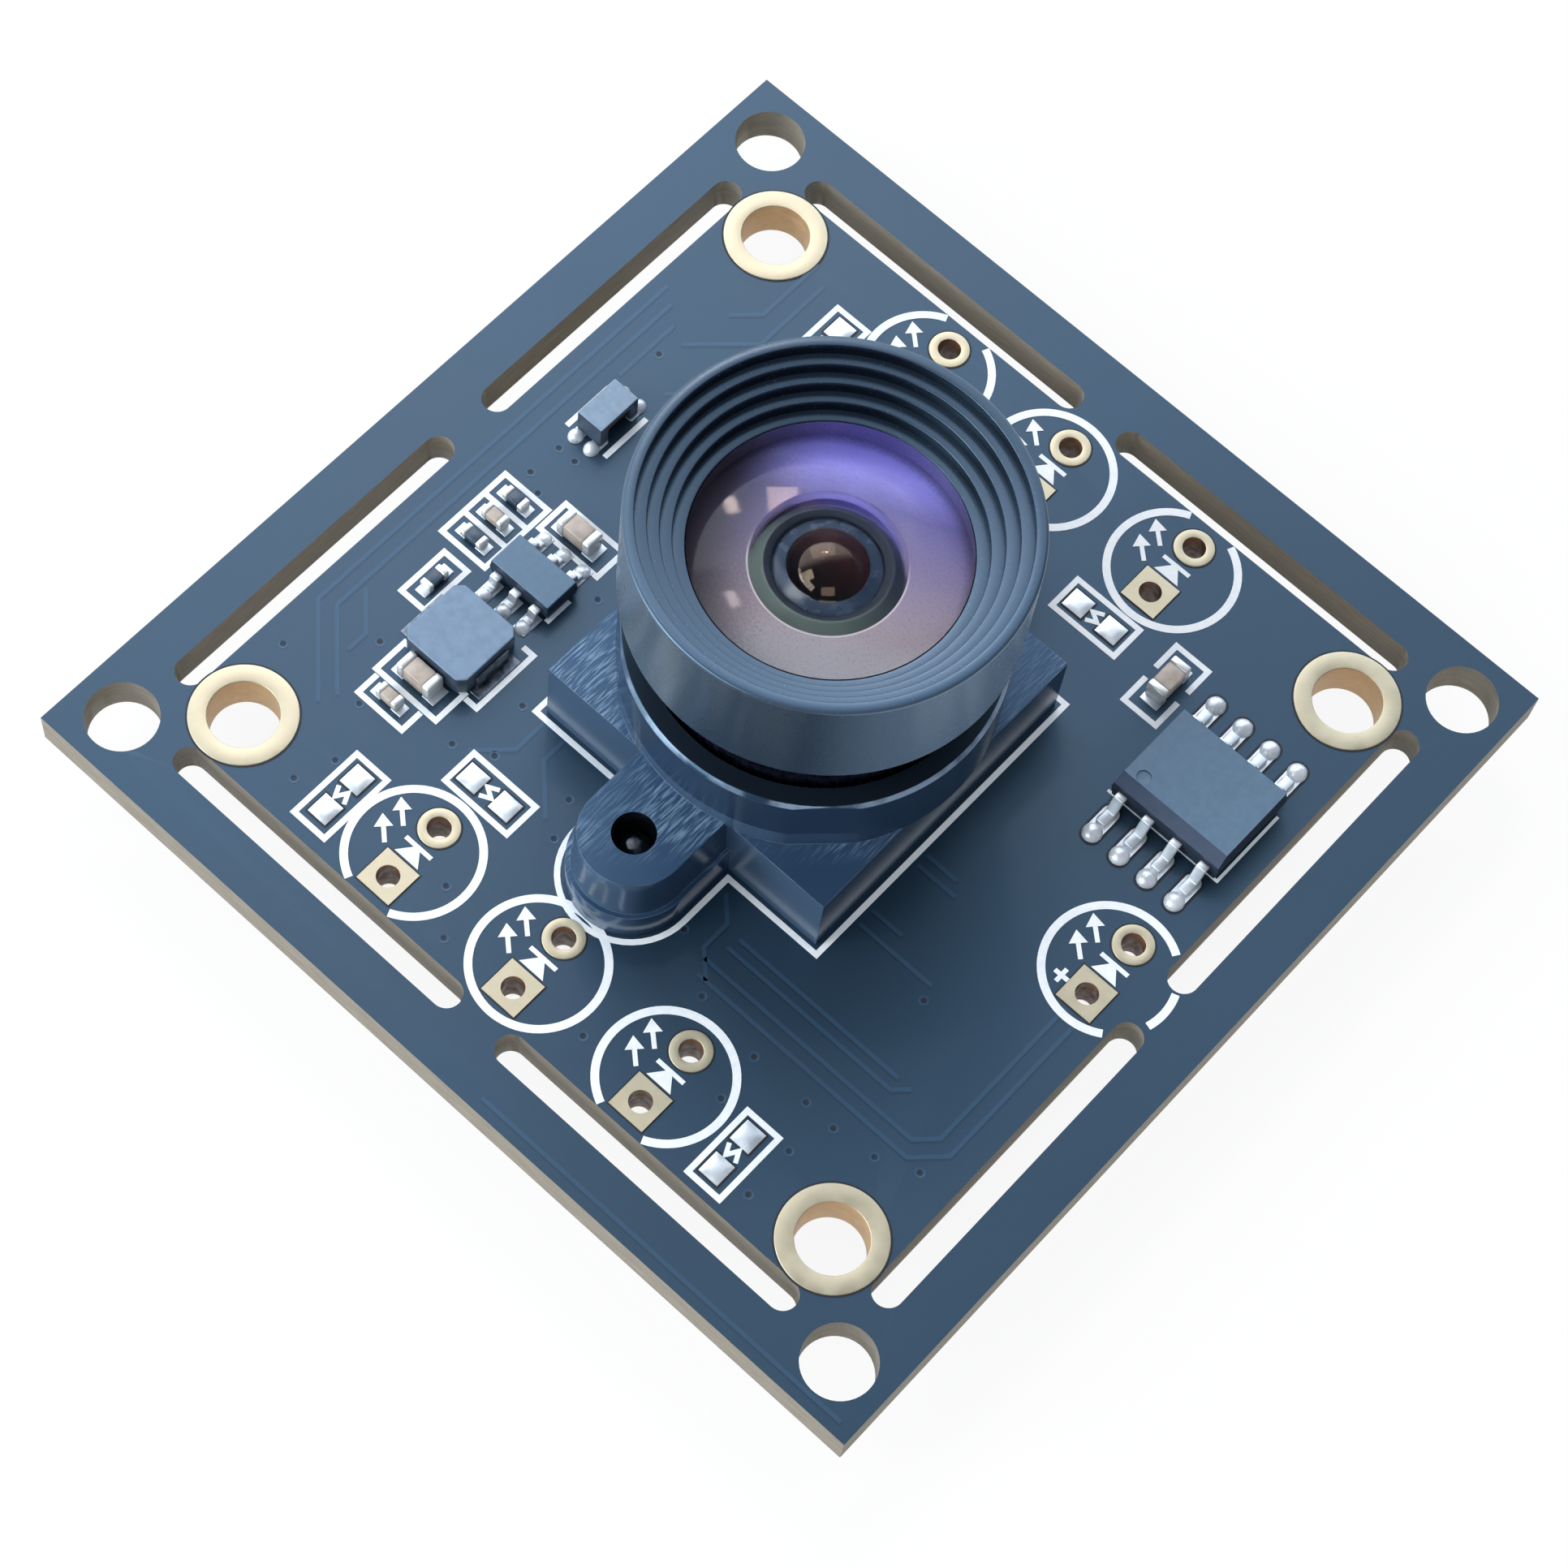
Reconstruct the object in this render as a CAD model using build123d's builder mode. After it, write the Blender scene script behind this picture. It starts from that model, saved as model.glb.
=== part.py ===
"""Board camera: a square circuit board that carries a screw-in lens in a moulded holder.

The origin is the centre of the board's back face, +Z points out through the lens, and
every size is in millimetres. Heights of the holder and the lens are above the board's front.
"""

import os
from math import asin, degrees

from build123d import *

os.makedirs("parts", exist_ok=True)

# Circuit board with a break-off frame
board_side = 38.0
board_thickness = 1.6
rail_width = 1.84
slot_width = 1.16
web_width = 1.9
slot_stop = 1.35
outer_hole_inset = 2.0
outer_hole_radius = 1.35
inner_hole_inset = 2.0
inner_hole_radius = 1.3

# Copper, plated or tinned
copper = 0.05
mount_pad_radius = 1.98

# Seven empty lamp places
lamp_pitch = 6.0
lamp_ear_gap = 0.275
lamp_slot_gap = 0.725
lead_pitch = 2.54
lead_hole_radius = 0.43
lead_hole_sides = 12
lead_pad_width = 1.55

# Five empty resistor places: three beside the lamp rows, as x, y and turn, and two inside them
bare_pad_length = 0.9
bare_pad_width = 0.85
bare_pad_pitch = 1.57
bare_outer_places = [(-9.35, -13.8, 90), (9.5, -14.08, 90), (-9.45, 11.8, 90)]
bare_front_x = -5.7
bare_rear_x = 5.2
bare_lamp_gap = 1.0

# Lens holder
base_side = 12.9
base_height = 3.35
base_wall = 1.15
shelf_thickness = 0.8
shelf_window = 6.6
tube_radius = 6.85
tube_flat = 6.75
tube_top = 6.35
tube_chamfer = 0.15
ear_pitch = 18.0
ear_radius = 1.97
ear_height = 3.6
ear_draft = 4.0
ear_foot_radius = 2.3
ear_foot_height = 1.5
ear_hole_radius = 0.785

# Screws that hold the holder from behind
screw_clearance = 0.025
screw_reach = 2.75
screw_point = 0.6
screw_head_radius = 1.6
screw_head_height = 1.15
screw_head_chamfer = 0.45
screw_board_gap = 0.3
cross_width = 0.4
cross_length = 1.7
cross_depth = 0.6

# Lens barrel, screwed into the holder
thread_radius = 6.0
thread_clearance = 0.03
barrel_lift = 0.25
head_radius = 6.98
head_bottom = 9.35
lens_top = 14.1
rim_width = 0.43
rim_chamfer = 0.12
step_count = 4
step_width = 0.435
step_drop = 0.49
cell_radius = 3.4
cell_clearance = 0.02

# Lens elements and the rings between them, from the front to the back
front_edge = 1.4
front_rise = 0.75
front_bowl_radius = 2.62
front_bowl_depth = 1.4
baffle_length = 1.2
lip_width = 0.37
lip_rise = 0.25
lip_fall = 0.12
middle_dome_radius = 1.95
middle_neck = 1.16
middle_rise = 0.75
middle_edge = 0.8
spacer_length = 2.3
spacer_hole = 1.1
rear_edge = 1.2
rear_rise = 0.5
ring_length = 1.1
ring_hole = 2.6

# Infrared filter and image sensor
filter_side = 8.4
filter_thickness = 0.5
sensor_side = 8.0
sensor_height = 1.0
sensor_floor = 0.45
sensor_pocket = 6.4
die_length = 5.4
die_width = 4.2
die_thickness = 0.2
glass_side = 7.0
glass_thickness = 0.4
glass_seat = 0.2

# Memory chip
memory_x = 12.58
memory_y = 7.0
memory_length = 4.9
memory_width = 3.9
memory_height = 1.45
memory_lead_pitch = 1.27
memory_lead_count = 4
memory_lead_width = 0.42
memory_span = 6.1
memory_pad_length = 1.7
memory_pad_width = 0.66
memory_pad_row = 3.0

# Voltage regulator
regulator_x = -10.3
regulator_y = -3.1
regulator_length = 2.9
regulator_width = 1.6
regulator_height = 0.95
regulator_lead_pitch = 0.95
regulator_lead_count = 3
regulator_lead_width = 0.38
regulator_span = 2.8
regulator_pad_length = 1.0
regulator_pad_width = 0.6
regulator_pad_row = 1.32

# Moulded chip bodies and their bent leads
chip_standoff = 0.1
chip_draft = 7.0
lead_thickness = 0.18
lead_shoulder = 0.22
lead_bend = 0.3
dimple_radius = 0.28
dimple_depth = 0.06
dimple_inset = 0.75

# Choke
choke_x = -13.0
choke_y = 3.65
choke_length = 2.0
choke_width = 1.2
choke_height = 1.2
choke_plate = 0.3
choke_flange = 0.42
choke_bar = 0.45
choke_winding_wall = 0.2
choke_end_width = 0.4
choke_pad_width = 0.5
choke_pad_length = 0.75

# Power inductor
inductor_x = -10.4
inductor_y = -6.75
inductor_side = 3.0
inductor_height = 1.15
inductor_corner = 0.3
inductor_end_width = 1.6
inductor_end_height = 0.75
inductor_end_thickness = 0.12
inductor_pad_length = 0.95
inductor_pad_width = 2.1

# Chip capacitors and resistors, as x, y and turn
large_length = 1.6
large_width = 0.8
large_end = 0.33
large_places = [(-10.4, -0.6, 0), (-10.5, -8.72, 0), (8.85, 9.85, 90)]
small_length = 1.0
small_width = 0.5
small_end = 0.24
small_places = [(-13.08, -2.2, 0), (-10.73, -10.0, 0)]
resistor_height = 0.35
resistor_places = [(-13.08, -1.12, 0), (-13.08, -3.28, 0), (-12.92, -5.5, 90)]
end_overlap = 0.02
chip_pad_overhang = 0.25

# Controller chip in the middle of the back
controller_side = 7.0
controller_height = 1.4
controller_lead_pitch = 0.5
controller_lead_count = 12
controller_lead_width = 0.22
controller_span = 9.0

# Crystal on the back
crystal_x = 9.2
crystal_y = -4.5
crystal_length = 3.2
crystal_width = 2.5
crystal_base_height = 0.4
crystal_lid_height = 0.4
crystal_lid_inset = 0.2

# Cable connector on the back, open towards -X
connector_edge_gap = 0.45
connector_y = 6.0
connector_depth = 4.3
connector_length = 8.0
connector_height = 3.0
connector_wall = 0.5
connector_back_wall = 0.9
contact_pitch = 1.25
contact_count = 4
contact_width = 0.3
contact_reach = 2.6
contact_foot = 0.9
key_width = 0.9
key_pitch = 4.4
tab_length = 1.6
tab_height = 1.5
tab_thickness = 0.2
tab_foot = 0.7

# Capacitors on the back, as x, y and turn
back_places = [(6.6, 2.0, 90), (6.6, -2.0, 90), (-6.7, -1.5, 90), (11.6, -4.5, 90), (-10.2, 0.2, 0)]

# Worked out from the sizes above
front = board_thickness
on_face = (Align.CENTER, Align.CENTER, Align.MIN)
below_face = (Align.CENTER, Align.CENTER, Align.MAX)
pad_top = front + copper
inner_half = board_side / 2 - rail_width - slot_width
outer_hole_pitch = board_side - 2 * outer_hole_inset
inner_hole_pitch = 2 * (inner_half - inner_hole_inset)
slot_line = inner_half + slot_width / 2
slot_length = inner_half - slot_stop - web_width / 2
slot_middle = (web_width + slot_length) / 2
plated_hole_radius = inner_hole_radius + copper
plated_lead_radius = lead_hole_radius + copper
screw_radius = ear_hole_radius - screw_clearance
screw_hole_radius = screw_radius + screw_board_gap
ear_places = [(0, -ear_pitch / 2), (0, ear_pitch / 2)]
lamp_row = ear_pitch / 2 + ear_foot_radius + lamp_ear_gap + (lead_pad_width + lead_pitch) / 2
lamp_side = inner_half - lamp_slot_gap - lead_pad_width / 2
lamp_places = [(x, y) for y in (-lamp_row, lamp_row) for x in (-lamp_pitch, 0, lamp_pitch)]
lamp_places.append((lamp_side, 0))
bare_row = lamp_row - (lead_pitch + lead_pad_width + bare_pad_width) / 2 - bare_lamp_gap
bare_places = bare_outer_places + [(bare_front_x, -bare_row, 0), (bare_rear_x, bare_row, 0)]
round_leads = [(x, y + lead_pitch / 2) for x, y in lamp_places]
square_leads = [(x, y - lead_pitch / 2) for x, y in lamp_places]
memory_columns = [
    memory_x + (i - (memory_lead_count - 1) / 2) * memory_lead_pitch for i in range(memory_lead_count)
]
regulator_columns = [
    regulator_x + (i - (regulator_lead_count - 1) / 2) * regulator_lead_pitch
    for i in range(regulator_lead_count)
]
controller_columns = [
    (i - (controller_lead_count - 1) / 2) * controller_lead_pitch for i in range(controller_lead_count)
]


def spots(places, height):
    """Locations of turned parts that stand at one height."""
    return [Location((x, y, height), (0, 0, turn)) for x, y, turn in places]


def across(x, y, z):
    """Upright plane that looks along X from a point, drawn with +Y to the right and +Z up."""
    return Plane(origin=(x, y, z), x_dir=(0, 1, 0), z_dir=(1, 0, 0))


def cap_radius(half_width, rise):
    """Radius of the sphere whose cap has this half width and rise."""
    return (half_width**2 + rise**2) / (2 * rise)


def cap_turn(half_width, rise):
    """Angle from the top of that cap to its edge."""
    return degrees(asin(half_width / cap_radius(half_width, rise)))


# Circuit board
with BuildPart() as circuit_board:
    with BuildSketch():
        Rectangle(board_side, board_side)
        with GridLocations(outer_hole_pitch, outer_hole_pitch, 2, 2):
            Circle(outer_hole_radius, mode=Mode.SUBTRACT)
        with GridLocations(inner_hole_pitch, inner_hole_pitch, 2, 2):
            Circle(plated_hole_radius, mode=Mode.SUBTRACT)
        with PolarLocations(slot_line, 4):
            with Locations((0, -slot_middle), (0, slot_middle)):
                SlotOverall(slot_length, slot_width, rotation=90, mode=Mode.SUBTRACT)
        with Locations(*round_leads, *square_leads):
            RegularPolygon(plated_lead_radius, lead_hole_sides, mode=Mode.SUBTRACT)
        with Locations(*ear_places):
            Circle(screw_hole_radius, mode=Mode.SUBTRACT)
    extrude(amount=board_thickness)

# Plated eyelets: a pad on each face of the board, joined by a barrel through the hole.
# The many small lead holes are twelve-sided, which keeps them light.
with BuildPart() as mount_pads:
    for base, height, radius in (
        (-copper, copper, mount_pad_radius),
        (0, board_thickness, plated_hole_radius),
        (board_thickness, copper, mount_pad_radius),
    ):
        with BuildSketch(Plane.XY.offset(base)):
            with GridLocations(inner_hole_pitch, inner_hole_pitch, 2, 2):
                Circle(radius)
                Circle(inner_hole_radius, mode=Mode.SUBTRACT)
        extrude(amount=height)

with BuildPart() as round_lead_pads:
    for base, height, radius in (
        (-copper, copper, lead_pad_width / 2),
        (0, board_thickness, plated_lead_radius),
        (board_thickness, copper, lead_pad_width / 2),
    ):
        with BuildSketch(Plane.XY.offset(base)):
            with Locations(*round_leads):
                RegularPolygon(radius, lead_hole_sides)
                RegularPolygon(lead_hole_radius, lead_hole_sides, mode=Mode.SUBTRACT)
        extrude(amount=height)

with BuildPart() as square_lead_pads:
    for base in (-copper, board_thickness):
        with BuildSketch(Plane.XY.offset(base)):
            with Locations(*square_leads):
                Rectangle(lead_pad_width, lead_pad_width)
                RegularPolygon(lead_hole_radius, lead_hole_sides, mode=Mode.SUBTRACT)
        extrude(amount=copper)
    with BuildSketch():
        with Locations(*square_leads):
            RegularPolygon(plated_lead_radius, lead_hole_sides)
            RegularPolygon(lead_hole_radius, lead_hole_sides, mode=Mode.SUBTRACT)
    extrude(amount=board_thickness)

with BuildPart() as bare_pads:
    with Locations(*spots(bare_places, front)):
        with GridLocations(bare_pad_pitch, bare_pad_pitch, 2, 1):
            Box(bare_pad_length, bare_pad_width, copper, align=on_face)

# Lens holder: square base with a shelf inside, a threaded tube and two screw ears
with BuildPart() as lens_holder:
    with BuildSketch(Plane.XY.offset(front)):
        Rectangle(base_side, base_side)
    extrude(amount=base_height)
    with BuildSketch(Plane.XY.offset(front + base_height)):
        Circle(tube_radius)
    extrude(amount=tube_top - base_height)
    chamfer(lens_holder.faces().sort_by(Axis.Z)[-1].edges(), tube_chamfer)
    with BuildSketch(Plane.XY.offset(front + base_height)):
        Circle(2 * tube_radius)
        Rectangle(2 * tube_flat, 2 * tube_flat, rotation=45, mode=Mode.SUBTRACT)
    extrude(amount=tube_top, mode=Mode.SUBTRACT)
    with BuildSketch(Plane.XY.offset(front)):
        SlotCenterToCenter(ear_pitch, 2 * ear_foot_radius, rotation=90)
    extrude(amount=ear_foot_height)
    with BuildSketch(Plane.XY.offset(front + ear_height)):
        SlotCenterToCenter(ear_pitch, 2 * ear_radius, rotation=90)
    extrude(amount=ear_foot_height - ear_height, taper=-ear_draft)
    with BuildSketch(Plane.XY.offset(front + base_height)):
        Circle(thread_radius + thread_clearance)
    extrude(amount=lens_top, mode=Mode.SUBTRACT)
    with BuildSketch(Plane.XY.offset(front)):
        Rectangle(base_side - 2 * base_wall, base_side - 2 * base_wall)
    extrude(amount=base_height - shelf_thickness, mode=Mode.SUBTRACT)
    with BuildSketch(Plane.XY.offset(front)):
        Rectangle(shelf_window, shelf_window)
    extrude(amount=base_height, mode=Mode.SUBTRACT)
    with BuildSketch(Plane.XY.offset(front)):
        with Locations(*ear_places):
            Circle(ear_hole_radius)
    extrude(amount=ear_height, mode=Mode.SUBTRACT)

# Self-tapping screws, with their heads on the board's back
with BuildPart() as holder_screws:
    with Locations(*[(x, y, 0) for x, y in ear_places]):
        Cylinder(screw_head_radius, screw_head_height, align=below_face)
    chamfer(holder_screws.edges().group_by(Axis.Z)[0], screw_head_chamfer)
    with Locations(*[(x, y, -screw_head_height) for x, y in ear_places]):
        Box(cross_length, cross_width, cross_depth, align=on_face, mode=Mode.SUBTRACT)
        Box(cross_width, cross_length, cross_depth, align=on_face, mode=Mode.SUBTRACT)
    with Locations(*[(x, y, 0) for x, y in ear_places]):
        Cylinder(screw_radius, front + screw_reach - screw_point, align=on_face)
    with Locations(*[(x, y, front + screw_reach - screw_point) for x, y in ear_places]):
        Cone(screw_radius, screw_radius / 3, screw_point, align=on_face)

# Heights inside the lens, worked down from its front
steps_bottom = front + lens_top - step_count * step_drop
glass_radius = head_radius - rim_width - step_count * step_width
seat = steps_bottom - front_edge
baffle_bottom = seat - baffle_length
middle_bottom = baffle_bottom - middle_edge
spacer_bottom = middle_bottom - spacer_length
rear_bottom = spacer_bottom - rear_edge
ring_bottom = rear_bottom - ring_length
barrel_bottom = front + base_height + barrel_lift
element_radius = cell_radius - cell_clearance

# Lens barrel with a stepped, glare-trapping front
with BuildPart() as lens_barrel:
    with BuildSketch(Plane.XZ):
        with BuildLine():
            rim_radius = head_radius - rim_width
            stairs = []
            for step in range(step_count):
                stair_radius = rim_radius - step * step_width
                stairs.append((stair_radius, front + lens_top - step * step_drop))
                stairs.append((stair_radius, front + lens_top - (step + 1) * step_drop))
            Polyline(
                (cell_radius, barrel_bottom),
                (thread_radius, barrel_bottom),
                (thread_radius, front + head_bottom),
                (head_radius, front + head_bottom),
                (head_radius, front + lens_top),
                *stairs,
                (glass_radius, steps_bottom),
                (glass_radius, seat),
                (cell_radius, seat),
                close=True,
            )
        make_face()
    revolve(axis=Axis.Z)
    head_edges = lens_barrel.edges().filter_by(GeomType.CIRCLE).group_by(SortBy.RADIUS)[-1]
    chamfer(head_edges, rim_chamfer)

# Front lens: a meniscus with a deep bowl behind
with BuildPart() as front_lens:
    front_radius = glass_radius - cell_clearance
    with BuildSketch(Plane.XZ):
        with BuildLine():
            crown = JernArc(
                start=(0, steps_bottom + front_rise),
                tangent=(1, 0),
                radius=cap_radius(front_radius, front_rise),
                arc_size=-cap_turn(front_radius, front_rise),
            )
            bowl = JernArc(
                start=(0, seat + front_bowl_depth),
                tangent=(1, 0),
                radius=cap_radius(front_bowl_radius, front_bowl_depth),
                arc_size=-cap_turn(front_bowl_radius, front_bowl_depth),
            )
            Polyline(crown @ 1, (front_radius, seat), bowl @ 1)
            Line(crown @ 0, bowl @ 0)
        make_face()
    revolve(axis=Axis.Z)

# Baffle ring between the front and middle lens, with a lip that stands up into the bowl
with BuildPart() as baffle_ring:
    lip_top = seat + lip_rise
    bore = middle_dome_radius + cell_clearance
    with BuildSketch(Plane.XZ):
        with BuildLine():
            Polyline(
                (element_radius, seat),
                (front_bowl_radius, seat),
                (front_bowl_radius - lip_width, lip_top),
                (bore, lip_top - lip_fall),
                (bore, baffle_bottom),
                (element_radius, baffle_bottom),
                close=True,
            )
        make_face()
    revolve(axis=Axis.Z)

# Middle lens: a dome on a neck, with a flat flange under the baffle ring
with BuildPart() as middle_lens:
    with BuildSketch(Plane.XZ):
        with BuildLine():
            dome = JernArc(
                start=(0, baffle_bottom + middle_neck + middle_rise),
                tangent=(1, 0),
                radius=cap_radius(middle_dome_radius, middle_rise),
                arc_size=-cap_turn(middle_dome_radius, middle_rise),
            )
            Polyline(
                dome @ 1,
                (middle_dome_radius, baffle_bottom),
                (element_radius, baffle_bottom),
                (element_radius, middle_bottom),
                (0, middle_bottom),
                dome @ 0,
            )
        make_face()
    revolve(axis=Axis.Z)

with BuildPart() as spacer_ring:
    with BuildSketch(Plane.XY.offset(spacer_bottom)):
        Circle(element_radius)
        Circle(spacer_hole, mode=Mode.SUBTRACT)
    extrude(amount=spacer_length)

# Rear lens: domed towards the sensor
with BuildPart() as rear_lens:
    with BuildSketch(Plane.XZ):
        with BuildLine():
            belly = JernArc(
                start=(0, rear_bottom - rear_rise),
                tangent=(1, 0),
                radius=cap_radius(ring_hole, rear_rise),
                arc_size=cap_turn(ring_hole, rear_rise),
            )
            Polyline(
                belly @ 1,
                (element_radius, rear_bottom),
                (element_radius, spacer_bottom),
                (0, spacer_bottom),
                belly @ 0,
            )
        make_face()
    revolve(axis=Axis.Z)

with BuildPart() as retaining_ring:
    with BuildSketch(Plane.XY.offset(ring_bottom)):
        Circle(element_radius)
        Circle(ring_hole, mode=Mode.SUBTRACT)
    extrude(amount=ring_length)

# Infrared filter, glued under the holder's shelf
with BuildPart() as infrared_filter:
    with Locations((0, 0, front + base_height - shelf_thickness)):
        Box(filter_side, filter_side, filter_thickness, align=below_face)

# Image sensor: ceramic cup, silicon die and cover glass
with BuildPart() as sensor_package:
    with Locations((0, 0, front)):
        Box(sensor_side, sensor_side, sensor_height, align=on_face)
    with Locations((0, 0, front + sensor_floor)):
        Box(sensor_pocket, sensor_pocket, sensor_height, align=on_face, mode=Mode.SUBTRACT)
    with Locations((0, 0, front + sensor_height - glass_seat)):
        Box(glass_side, glass_side, sensor_height, align=on_face, mode=Mode.SUBTRACT)

with BuildPart() as sensor_die:
    with Locations((0, 0, front + sensor_floor)):
        Box(die_length, die_width, die_thickness, align=on_face)

with BuildPart() as sensor_glass:
    with Locations((0, 0, front + sensor_height - glass_seat)):
        Box(glass_side, glass_side, glass_thickness, align=on_face)

# Memory chip: a moulded body, drafted both ways from its parting line
with BuildPart() as memory_chip:
    half_height = (memory_height - chip_standoff) / 2
    for rise in (half_height, -half_height):
        with BuildSketch(Plane.XY.offset(pad_top + chip_standoff + half_height)):
            with Locations((memory_x, memory_y)):
                Rectangle(memory_length, memory_width)
        extrude(amount=rise, taper=chip_draft)
    with Locations(
        (
            memory_x - memory_length / 2 + dimple_inset,
            memory_y - memory_width / 2 + dimple_inset,
            pad_top + memory_height,
        )
    ):
        Cylinder(dimple_radius, dimple_depth, align=below_face, mode=Mode.SUBTRACT)

with BuildPart() as memory_leads:
    half_body = memory_width / 2
    middle = chip_standoff + (memory_height - chip_standoff) / 2
    for column in memory_columns:
        with BuildSketch(across(column, memory_y, pad_top)):
            with BuildLine():
                Polyline(
                    (half_body, middle),
                    (half_body + lead_shoulder, middle),
                    (half_body + lead_shoulder + lead_bend, lead_thickness / 2),
                    (memory_span / 2, lead_thickness / 2),
                )
            trace(line_width=lead_thickness)
        extrude(amount=memory_lead_width / 2, both=True)
    mirror(about=Plane.XZ.offset(-memory_y))

with BuildPart() as memory_pads:
    with Locations((memory_x, memory_y, front)):
        with GridLocations(memory_lead_pitch, 2 * memory_pad_row, memory_lead_count, 2):
            Box(memory_pad_width, memory_pad_length, copper, align=on_face)

# Voltage regulator
with BuildPart() as regulator_chip:
    half_height = (regulator_height - chip_standoff) / 2
    for rise in (half_height, -half_height):
        with BuildSketch(Plane.XY.offset(pad_top + chip_standoff + half_height)):
            with Locations((regulator_x, regulator_y)):
                Rectangle(regulator_length, regulator_width)
        extrude(amount=rise, taper=chip_draft)

with BuildPart() as regulator_leads:
    half_body = regulator_width / 2
    middle = chip_standoff + (regulator_height - chip_standoff) / 2
    for column in regulator_columns:
        with BuildSketch(across(column, regulator_y, pad_top)):
            with BuildLine():
                Polyline(
                    (half_body, middle),
                    (half_body + lead_shoulder, middle),
                    (half_body + lead_shoulder + lead_thickness / 2, lead_thickness / 2),
                    (regulator_span / 2, lead_thickness / 2),
                )
            trace(line_width=lead_thickness)
        extrude(amount=regulator_lead_width / 2, both=True)
    mirror(about=Plane.XZ.offset(-regulator_y))

with BuildPart() as regulator_pads:
    with Locations((regulator_x, regulator_y, front)):
        with GridLocations(regulator_lead_pitch, 2 * regulator_pad_row, regulator_lead_count, 2):
            Box(regulator_pad_width, regulator_pad_length, copper, align=on_face)

# Choke: a ferrite core with two flanges, a bar between them and a closing plate on top
with BuildPart() as choke_core:
    with Locations((choke_x, choke_y, pad_top + choke_height)):
        Box(choke_width, choke_length, choke_plate, align=below_face)
    with Locations((choke_x, choke_y, pad_top + copper)):
        with GridLocations(choke_width, choke_length - choke_flange, 1, 2):
            Box(choke_width, choke_flange, choke_height - choke_plate - copper, align=on_face)
    with Locations((choke_x, choke_y, pad_top + (choke_height - choke_plate) / 2)):
        Box(choke_bar, choke_length - choke_flange, choke_bar)

with BuildPart() as choke_winding:
    winding_length = choke_length - 2 * choke_flange
    winding_side = choke_bar + 2 * choke_winding_wall
    with Locations((choke_x, choke_y, pad_top + (choke_height - choke_plate) / 2)):
        Box(winding_side, winding_length, winding_side)
        fillet(choke_winding.edges().filter_by(Axis.Y), choke_winding_wall)
        Box(choke_bar, winding_length, choke_bar, mode=Mode.SUBTRACT)

with BuildPart() as choke_ends:
    with Locations((choke_x, choke_y, pad_top)):
        with GridLocations(choke_width - choke_end_width, choke_length - choke_flange, 2, 2):
            Box(choke_end_width, choke_flange, copper, align=on_face)

with BuildPart() as choke_pads:
    with Locations((choke_x, choke_y, front)):
        with GridLocations(choke_width - choke_end_width, choke_length, 2, 2):
            Box(choke_pad_width, choke_pad_length, copper, align=on_face)

# Power inductor: a pressed block with cut corners and folded metal ends
with BuildPart() as power_inductor:
    with Locations((inductor_x, inductor_y, pad_top + inductor_end_thickness)):
        Box(inductor_side, inductor_side, inductor_height - inductor_end_thickness, align=on_face)
    chamfer(power_inductor.edges().filter_by(Axis.Z), inductor_corner)

with BuildPart() as inductor_ends:
    for side in (-1, 1):
        inner = inductor_x + side * (inductor_side / 2 - inductor_pad_length / 2)
        outer = inductor_x + side * inductor_side / 2
        with Locations((inner, inductor_y, pad_top)):
            Box(inductor_pad_length, inductor_end_width, inductor_end_thickness, align=on_face)
        with Locations((outer + side * inductor_end_thickness / 2, inductor_y, pad_top)):
            Box(inductor_end_thickness, inductor_end_width, inductor_end_height, align=on_face)

with BuildPart() as inductor_pads:
    with Locations((inductor_x, inductor_y, front)):
        with GridLocations(inductor_side, inductor_side, 2, 1):
            Box(inductor_pad_length, inductor_pad_width, copper, align=on_face)

# Chip capacitors: a ceramic block between two metal ends, which stand a little proud of it
with BuildPart() as large_capacitors:
    with Locations(*spots(large_places, pad_top + end_overlap)):
        Box(
            large_length - 2 * large_end,
            large_width - 2 * end_overlap,
            large_width - 2 * end_overlap,
            align=on_face,
        )

with BuildPart() as large_capacitor_ends:
    with Locations(*spots(large_places, pad_top)):
        with GridLocations(large_length - large_end, large_width, 2, 1):
            Box(large_end, large_width, large_width, align=on_face)

with BuildPart() as small_capacitors:
    with Locations(*spots(small_places, pad_top + end_overlap)):
        Box(
            small_length - 2 * small_end,
            small_width - 2 * end_overlap,
            small_width - 2 * end_overlap,
            align=on_face,
        )

with BuildPart() as small_capacitor_ends:
    with Locations(*spots(small_places, pad_top)):
        with GridLocations(small_length - small_end, small_width, 2, 1):
            Box(small_end, small_width, small_width, align=on_face)

# Chip resistors
with BuildPart() as resistors:
    with Locations(*spots(resistor_places, pad_top + end_overlap)):
        Box(
            small_length - 2 * small_end,
            small_width - 2 * end_overlap,
            resistor_height - 2 * end_overlap,
            align=on_face,
        )

with BuildPart() as resistor_ends:
    with Locations(*spots(resistor_places, pad_top)):
        with GridLocations(small_length - small_end, small_width, 2, 1):
            Box(small_end, small_width, resistor_height, align=on_face)

# Tinned pads under the ends of the capacitors and resistors
with BuildPart() as chip_pads:
    for places, length, width, end in (
        (large_places, large_length, large_width, large_end),
        (small_places + resistor_places, small_length, small_width, small_end),
    ):
        pad_length = end + chip_pad_overhang
        with Locations(*spots(places, front)):
            with GridLocations(length + chip_pad_overhang - end, width, 2, 1):
                Box(pad_length, width, copper, align=on_face)

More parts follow.
